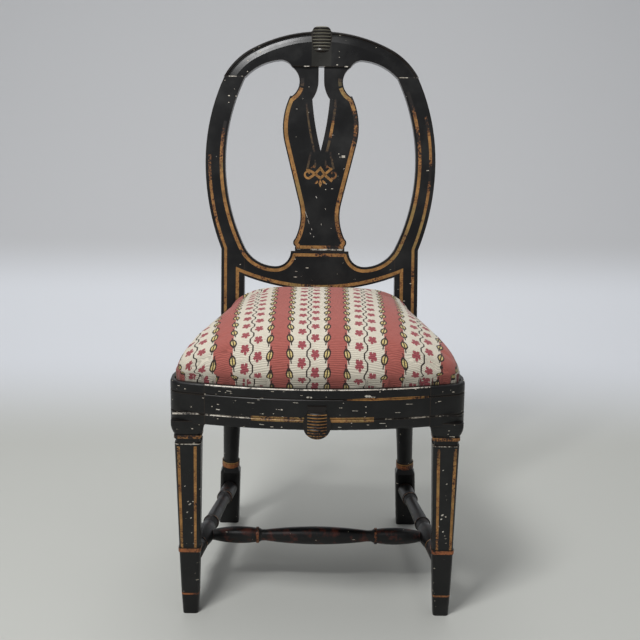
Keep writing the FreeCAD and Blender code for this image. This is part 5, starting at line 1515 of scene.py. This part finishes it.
@dataclass
class DropInSeat:
    """The stuffed seat: a cloth cover pulled over its stuffing and turned under the frame.

    Its sizes and levels are in millimetres.
    """

    cloth: bpy.types.Material
    voxel: float = 5.0
    pressure: float = 4.0
    stiffness: float = 25.0
    cap: float = 6.0
    rise: float = 1.5
    open_level: float = 416.4
    held_level: float = 421.0
    foot_level: float = 407.5
    hem_level: float = 392.0
    hem: float = 18.0
    wrap: float = 0.3
    cover: float = 2.0
    # How much the stripes draw together over the seat's depth, and that depth in metres.
    stripe_spread: float = 0.025
    spread_depth: float = 0.4
    roll: float = 36.0
    roll_level: float = 425.0
    hang: float = 0.9
    frames: int = 20

    def build(self) -> None:
        """Model the cover and lay its cloth."""
        pad = put("cover", merged("stuffing"), smooth=False)
        remesh = pad.modifiers.new("Remesh", "REMESH")
        remesh.mode = "VOXEL"
        remesh.voxel_size = self.voxel * MM
        self.apply(pad)
        self.open_foot(pad.data)
        self.inflate(pad)
        bm = bmesh.new()
        bm.from_mesh(pad.data)
        bmesh.ops.smooth_vert(bm, verts=[v for v in bm.verts if not v.is_boundary], factor=0.5,
                              use_axis_x=True, use_axis_y=True, use_axis_z=True)
        bmesh.ops.subdivide_edges(bm, edges=bm.edges, cuts=1, use_grid_fill=True, smooth=1.0)
        self.turn_under(bm)
        bpy.data.objects.remove(pad)
        piece = new_piece("seat_cushion", bm, self.cloth, SEAT, "striped_cloth")
        self.lay_weave(piece.data)
        thick = piece.modifiers.new("Solidify", "SOLIDIFY")
        thick.thickness = self.cover * MM
        thick.offset = 1.0
        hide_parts("seat_cover", "stuffing")

    @staticmethod
    def apply(piece: bpy.types.Object) -> None:
        """Make a piece's modifiers part of its mesh.

        Args:
            piece: The piece.
        """
        graph = bpy.context.evaluated_depsgraph_get()
        mesh = bpy.data.meshes.new_from_object(piece.evaluated_get(graph))
        piece.modifiers.clear()
        piece.data = mesh

    def open_foot(self, mesh: bpy.types.Mesh) -> None:
        """Cut the underside away.

        Args:
            mesh: The closed form of the stuffing.
        """
        bm = bmesh.new()
        bm.from_mesh(mesh)
        bmesh.ops.bisect_plane(bm, geom=bm.verts[:] + bm.edges[:] + bm.faces[:], dist=0.2 * MM,
                               plane_co=(0, 0, self.open_level * MM), plane_no=(0, 0, 1),
                               clear_inner=True)
        bm.to_mesh(mesh)
        bm.free()

    def inflate(self, pad: bpy.types.Object) -> None:
        """Let pressure round the crown, held round its foot.

        Args:
            pad: The open form.
        """
        rest = [v.co.copy() for v in pad.data.vertices]
        held = pad.vertex_groups.new(name="held")
        low = self.held_level * MM
        held.add([v.index for v in pad.data.vertices if v.co.z < low], 1.0, "REPLACE")
        cloth = pad.modifiers.new("Cloth", "CLOTH")
        cloth.settings.vertex_group_mass = "held"
        cloth.settings.use_pressure = True
        cloth.settings.uniform_pressure_force = self.pressure
        cloth.settings.effector_weights.gravity = 0
        cloth.settings.tension_stiffness = self.stiffness
        cloth.settings.compression_stiffness = self.stiffness
        cloth.point_cache.frame_end = self.frames
        for number in range(1, self.frames + 1):
            bpy.context.scene.frame_set(number)
        self.apply(pad)
        bpy.context.scene.frame_set(1)
        for vert, was in zip(pad.data.vertices, rest):
            move = vert.co - was
            move.z = min(move.z, self.rise * MM)
            if move.length > self.cap * MM:
                vert.co = was + move.normalized() * self.cap * MM
        LOG.info("cushion inflated over %d frames", self.frames)

    def turn_under(self, bm: bmesh.types.BMesh) -> None:
        """Pull the open edge down over the seat's frame and turn it under.

        Args:
            bm: The cover, open at its foot.
        """
        rim = [e for e in bm.edges if e.is_boundary]
        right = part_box("slip_frame_right")[1][0] + self.wrap * MM
        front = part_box("slip_frame_front")[0][1] - self.wrap * MM
        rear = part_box("slip_frame_rear")[1][1] + self.wrap * MM
        for level, inwards in ((self.foot_level, 0.0), (self.hem_level, 0.0),
                               (self.hem_level, self.hem)):
            grown = bmesh.ops.extrude_edge_only(bm, edges=rim)["geom"]
            verts = [g for g in grown if isinstance(g, bmesh.types.BMVert)]
            half = max(v.co.x for v in verts)
            low, high = min(v.co.y for v in verts), max(v.co.y for v in verts)
            inset = inwards * MM
            grow = (rear - front - inset * 2) / (high - low)
            for vert in verts:
                vert.co.z = level * MM
                vert.co.x *= (right - inset) / half
                vert.co.y = front + inset + (vert.co.y - low) * grow
            rim = [g for g in grown if isinstance(g, bmesh.types.BMEdge) and g.is_boundary]
        bmesh.ops.recalc_face_normals(bm, faces=bm.faces)

    def lay_weave(self, mesh: bpy.types.Mesh) -> None:
        """Map the cloth as it lies: flat on the crown and rolled over its edges.

        Args:
            mesh: The cover.
        """
        layer = mesh.uv_layers.new(name="weave")
        roll = self.roll * MM
        for loop in mesh.loops:
            vert = mesh.vertices[loop.vertex_index]
            n = vert.normal
            v = vert.co.y
            # The stripes draw together a little towards the back.
            back = (v - CAD_BOX[0][1]) / self.spread_depth
            u = vert.co.x * (1 + self.stripe_spread * back)
            side = math.atan2(abs(n.x), max(n.z, 0.0))
            end = math.atan2(abs(n.y), max(n.z, 0.0))
            below = max(0.0, self.roll_level * MM - vert.co.z) * self.hang
            u += math.copysign((side - math.sin(side)) * roll + below, u) * abs(n.x)
            v += math.copysign((end - math.sin(end)) * roll + below, v) * abs(n.y)
            layer.data[loop.index].uv = (u, v)


@dataclass
class SeatLayers:
    """What lies under the cover: slip frame, webbing, hessian and dust cloth."""

    wood: bpy.types.Material
    webbing: bpy.types.Material
    hessian: bpy.types.Material
    dust: bpy.types.Material
    steel: bpy.types.Material
    long_edge: float = 30.0
    # How many ripples there are to a metre.
    ripples: float = 22.0

    def build(self) -> None:
        """Finish the slip frame and replace the soft layers."""
        for edge in ("front", "rear", "left", "right"):
            dress(f"slip_frame_{edge}", self.wood)
        dress("cover_tacks", self.steel)
        for node, name, material, slot, slack in (
                ("webbing_lengthwise", "seat_webbing_long", self.webbing, "jute", 0.15),
                ("webbing_crosswise", "seat_webbing_cross", self.webbing, "jute", 0.15),
                ("hessian", "seat_hessian", self.hessian, "jute", 0.1),
                ("base_cloth", "seat_dust_cloth", self.dust, "dust_cloth", 0.1)):
            self.layer(node, name, material, slot, slack)

    def layer(self, node: str, name: str, material: bpy.types.Material, slot: str,
              slack: float) -> None:
        """Replace a soft CAD layer with a woven one that isn't quite flat.

        Args:
            node: The CAD node.
            name: The new piece.
            material: Its cloth.
            slot: Handed on to new_piece.
            slack: How far it ripples.
        """
        bm = merged(node)
        bmesh.ops.dissolve_limit(bm, angle_limit=math.radians(1), verts=bm.verts, edges=bm.edges)
        bmesh.ops.triangulate(bm, faces=bm.faces)
        longest = [e for e in bm.edges if e.calc_length() > self.long_edge * MM]
        bmesh.ops.subdivide_edges(bm, edges=longest, cuts=6, use_grid_fill=True)
        bmesh.ops.triangulate(bm, faces=bm.faces)
        # Cut size: the cloth's own outline, or its straps laid side by side.
        area = sum(f.calc_area() for f in bm.faces if f.normal.z > 0.9)
        low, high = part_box(node)
        across, along = high[0] - low[0], high[1] - low[1]
        for vert in bm.verts:
            place = Vector((vert.co.x, vert.co.y, 0.0)) * self.ripples
            vert.co.z += noise.noise(place) * slack * MM
        piece = new_piece(name, bm, material, SEAT, slot, smooth=False)
        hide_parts(node)
        LOG.info("%s: cut %.3f by %.3f m, %.4f m2", name, across, along, area)


def dress(name: str, material: bpy.types.Material) -> None:
    """Give a CAD node its finish.

    Args:
        name: The node.
        material: Its finish.
    """
    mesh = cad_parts[name].data
    mesh.materials.clear()
    mesh.materials.append(material)
    LOG.info("%s: %s", name, material.name)


@dataclass(frozen=True)
class SoftBox:
    """A square lamp: where it hangs, what it faces, its size in metres and its watts."""

    name: str
    place: tuple[float, float, float]
    aim: tuple[float, float, float]
    size: float
    power: float


@dataclass
class Studio:
    """A grey paper sweep, three soft boxes overhead and the camera."""

    wall: str = "#C4C5C7"
    # Painted light: the paler paper where the sweep bends.
    bend_light: str = "#DEE1E6"
    floor: str = "#BABBB6"
    room: str = "#F2F3F5"
    room_light: float = 0.37
    boxes: tuple[SoftBox, ...] = (
        SoftBox("key_box", (-0.75, -1.5, 2.7), (0.0, 0.0, 0.2), 0.7, 57.0),
        SoftBox("rear_box", (0.0, 0.9, 2.7), (0.0, 0.1, 0.6), 1.6, 14.0),
        SoftBox("backdrop_box", (0.0, 1.0, 3.2), (0.0, 2.2, 0.7), 2.4, 14.0))
    camera_place: tuple[float, float, float] = (0.0107, -2.4066, 1.0713)
    pitch: float = 14.373
    yaw: float = 0.199
    roll: float = 0.517
    lens: float = 80.675
    sensor: float = 36.0
    width: float = 4.0
    near: float = -4.0
    far: float = 1.2
    bend: float = 1.0
    height: float = 3.5

    def build(self) -> None:
        """Set up the sweep, the light and the camera."""
        self.sweep()
        self.light()
        self.camera()
        bpy.context.scene.view_settings.view_transform = "Standard"

    def sweep(self) -> None:
        """Model the paper that curves up behind the chair."""
        bm = bmesh.new()
        ends = [bm.verts.new((x, self.near, 0)) for x in (-self.width, self.width)]
        edges = [bm.edges.new(ends)]
        edges = self.extend(bm, edges, Vector((0, self.far - self.near, 0)))
        spun = bmesh.ops.spin(bm, geom=edges + list(edges[0].verts), axis=(1, 0, 0),
                              cent=(0, self.far, self.bend), angle=math.pi / 2, steps=32)
        edges = [g for g in spun["geom_last"] if isinstance(g, bmesh.types.BMEdge)]
        self.extend(bm, edges, Vector((0, 0, self.height)))
        bmesh.ops.recalc_face_normals(bm, faces=bm.faces)
        bm.faces.ensure_lookup_table()
        if bm.faces[0].normal.z < 0:
            bmesh.ops.reverse_faces(bm, faces=bm.faces)
        paper = put("paper_sweep", bm)
        paper.data.materials.append(self.paper())

    def paper(self) -> bpy.types.Material:
        """Build the matt backdrop paper.

        Returns:
            The material.
        """
        g = Nodes("matt backdrop paper")
        at = g.add("TexCoord", out="Object")
        place = g.add("SeparateXYZ", at, out="Y")
        # The paper is paler where it bends, a painted band of light, and greyer up the wall.
        lit_bend = g.add("MapRange", place, self.far - 0.6, self.far + 0.15, 0.0, 1.0,
                     interpolation_type="SMOOTHSTEP")
        low = g.add("Mix", lit_bend, (A, self.floor), (B, self.bend_light), **COLOUR_MIX)
        raised = g.add("MapRange", place.node.outputs["Z"], 0.10, 0.24, 0.0, 1.0,
                       interpolation_type="SMOOTHSTEP")
        colour = g.add("Mix", raised, (A, low), (B, self.wall), **COLOUR_MIX)
        # A camera behind the paper looks through it.
        matt = g.add("BsdfPrincipled", ("Base Color", colour), ("Roughness", 0.9))
        behind = g.add("NewGeometry", out="Backfacing")
        g.add("OutputMaterial", g.add("MixShader", behind, matt, g.add("BsdfTransparent")))
        return g.material

    @staticmethod
    def extend(bm: bmesh.types.BMesh, edges: list[bmesh.types.BMEdge], by: Vector
               ) -> list[bmesh.types.BMEdge]:
        """Extrude edges.

        Args:
            bm: The mesh.
            edges: The edges.
            by: How far.

        Returns:
            The new edges.
        """
        grown = bmesh.ops.extrude_edge_only(bm, edges=edges)["geom"]
        verts = [g for g in grown if isinstance(g, bmesh.types.BMVert)]
        bmesh.ops.translate(bm, verts=verts, vec=by)
        return [g for g in grown if isinstance(g, bmesh.types.BMEdge) and all(
            v in verts for v in g.verts)]

    def light(self) -> None:
        """Hang the soft boxes and set the room's light."""
        for box in self.boxes:
            lamp = bpy.data.lights.new(box.name, "AREA")
            lamp.shape = "SQUARE"
            lamp.size = box.size
            lamp.energy = box.power
            holder = bpy.data.objects.new(box.name, lamp)
            holder.location = box.place
            ahead = Vector(box.aim) - Vector(box.place)
            holder.rotation_euler = ahead.to_track_quat("-Z", "Y").to_euler()
            bpy.context.scene.collection.objects.link(holder)
        world = bpy.data.worlds.new("room")
        world.use_nodes = True
        sky = world.node_tree.nodes["Background"]
        sky.inputs["Color"].default_value = linear(self.room)
        sky.inputs["Strength"].default_value = self.room_light
        bpy.context.scene.world = world

    def camera(self) -> None:
        """Stand the camera where the photograph was taken from."""
        lens = bpy.data.cameras.new("camera")
        lens.lens = self.lens
        lens.sensor_width = self.sensor
        camera = bpy.data.objects.new("camera", lens)
        turn = (Matrix.Rotation(math.radians(self.yaw), 4, "Z")
                @ Matrix.Rotation(math.radians(90 - self.pitch), 4, "X")
                @ Matrix.Rotation(math.radians(self.roll), 4, "Z"))
        camera.matrix_world = Matrix.Translation(self.camera_place) @ turn
        bpy.context.scene.collection.objects.link(camera)
        bpy.context.scene.camera = camera


def main() -> None:
    """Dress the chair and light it."""
    logging.basicConfig(level=logging.INFO, format="%(name)s: %(message)s")
    paint = PaintedWood().material()
    crest = ShellPaint().material()
    rubbed = PaintedWood(name="rubbed black oil paint on pine", flecks=1.4, scratches=0.75,
                         edges=0.2).material()
    turned = PaintedWood(name="black oil paint on turned birch", under="#4A2A20",
                         streaks=0.3, flecks=0.4, roughness=0.36).material()
    thin = PaintedWood(name="black oil paint rubbed thin on turned birch", under="#5E2C20",
                       streaks=0.75, flecks=0.5, roughness=0.33).material()
    pine = PlainWood("bare pine", "#C9A26E", "#A87B48").material()
    oak = PlainWood("oak pegs", "#8A6A44", "#5E4529", ring=1.5).material()
    lines = LineWork(Gilding().material())
    reddened = LineWork(Gilding(name="reddened gold size paint", gold="#A8663A", dull="#7C4728",
                                green="#8C6B3D").material())
    chips = LineWork(Gilding(name="chalk ground in chipped paint", gold="#DAD5CA",
                             dull="#A39A8C", green="#C6C0B2", bole="#4A3D30").material())
    faint = LineWork(Gilding(name="gold size worn to a ghost", gold="#5E4B2E", dull="#3D3122",
                             green="#45432C", bole="#35231B").material())
    OvalBack(lines, faint, chips, paint, crest).build()
    SeatFrame(lines, chips, rubbed, pine).build()
    Legs(lines, reddened, chips, rubbed).build()
    Stretchers(lines, reddened, turned, thin).build()
    dress("joint_pegs", oak)
    dress("front_rail_drop", RibGilding().material())
    DropInSeat(StripedCloth().material()).build()
    SeatLayers(pine,
               PlainCloth("jute webbing", "#B39A6B", "#8C7347", thread=2.4).material(),
               PlainCloth("hessian", "#A98F60", "#7E6740", thread=1.8).material(),
               PlainCloth("black dust cloth", "#2A2A2B", "#1B1B1C", thread=1.2).material(),
               TackSteel().material()).build()
    Studio().build()


if __name__ == "__main__":
    main()
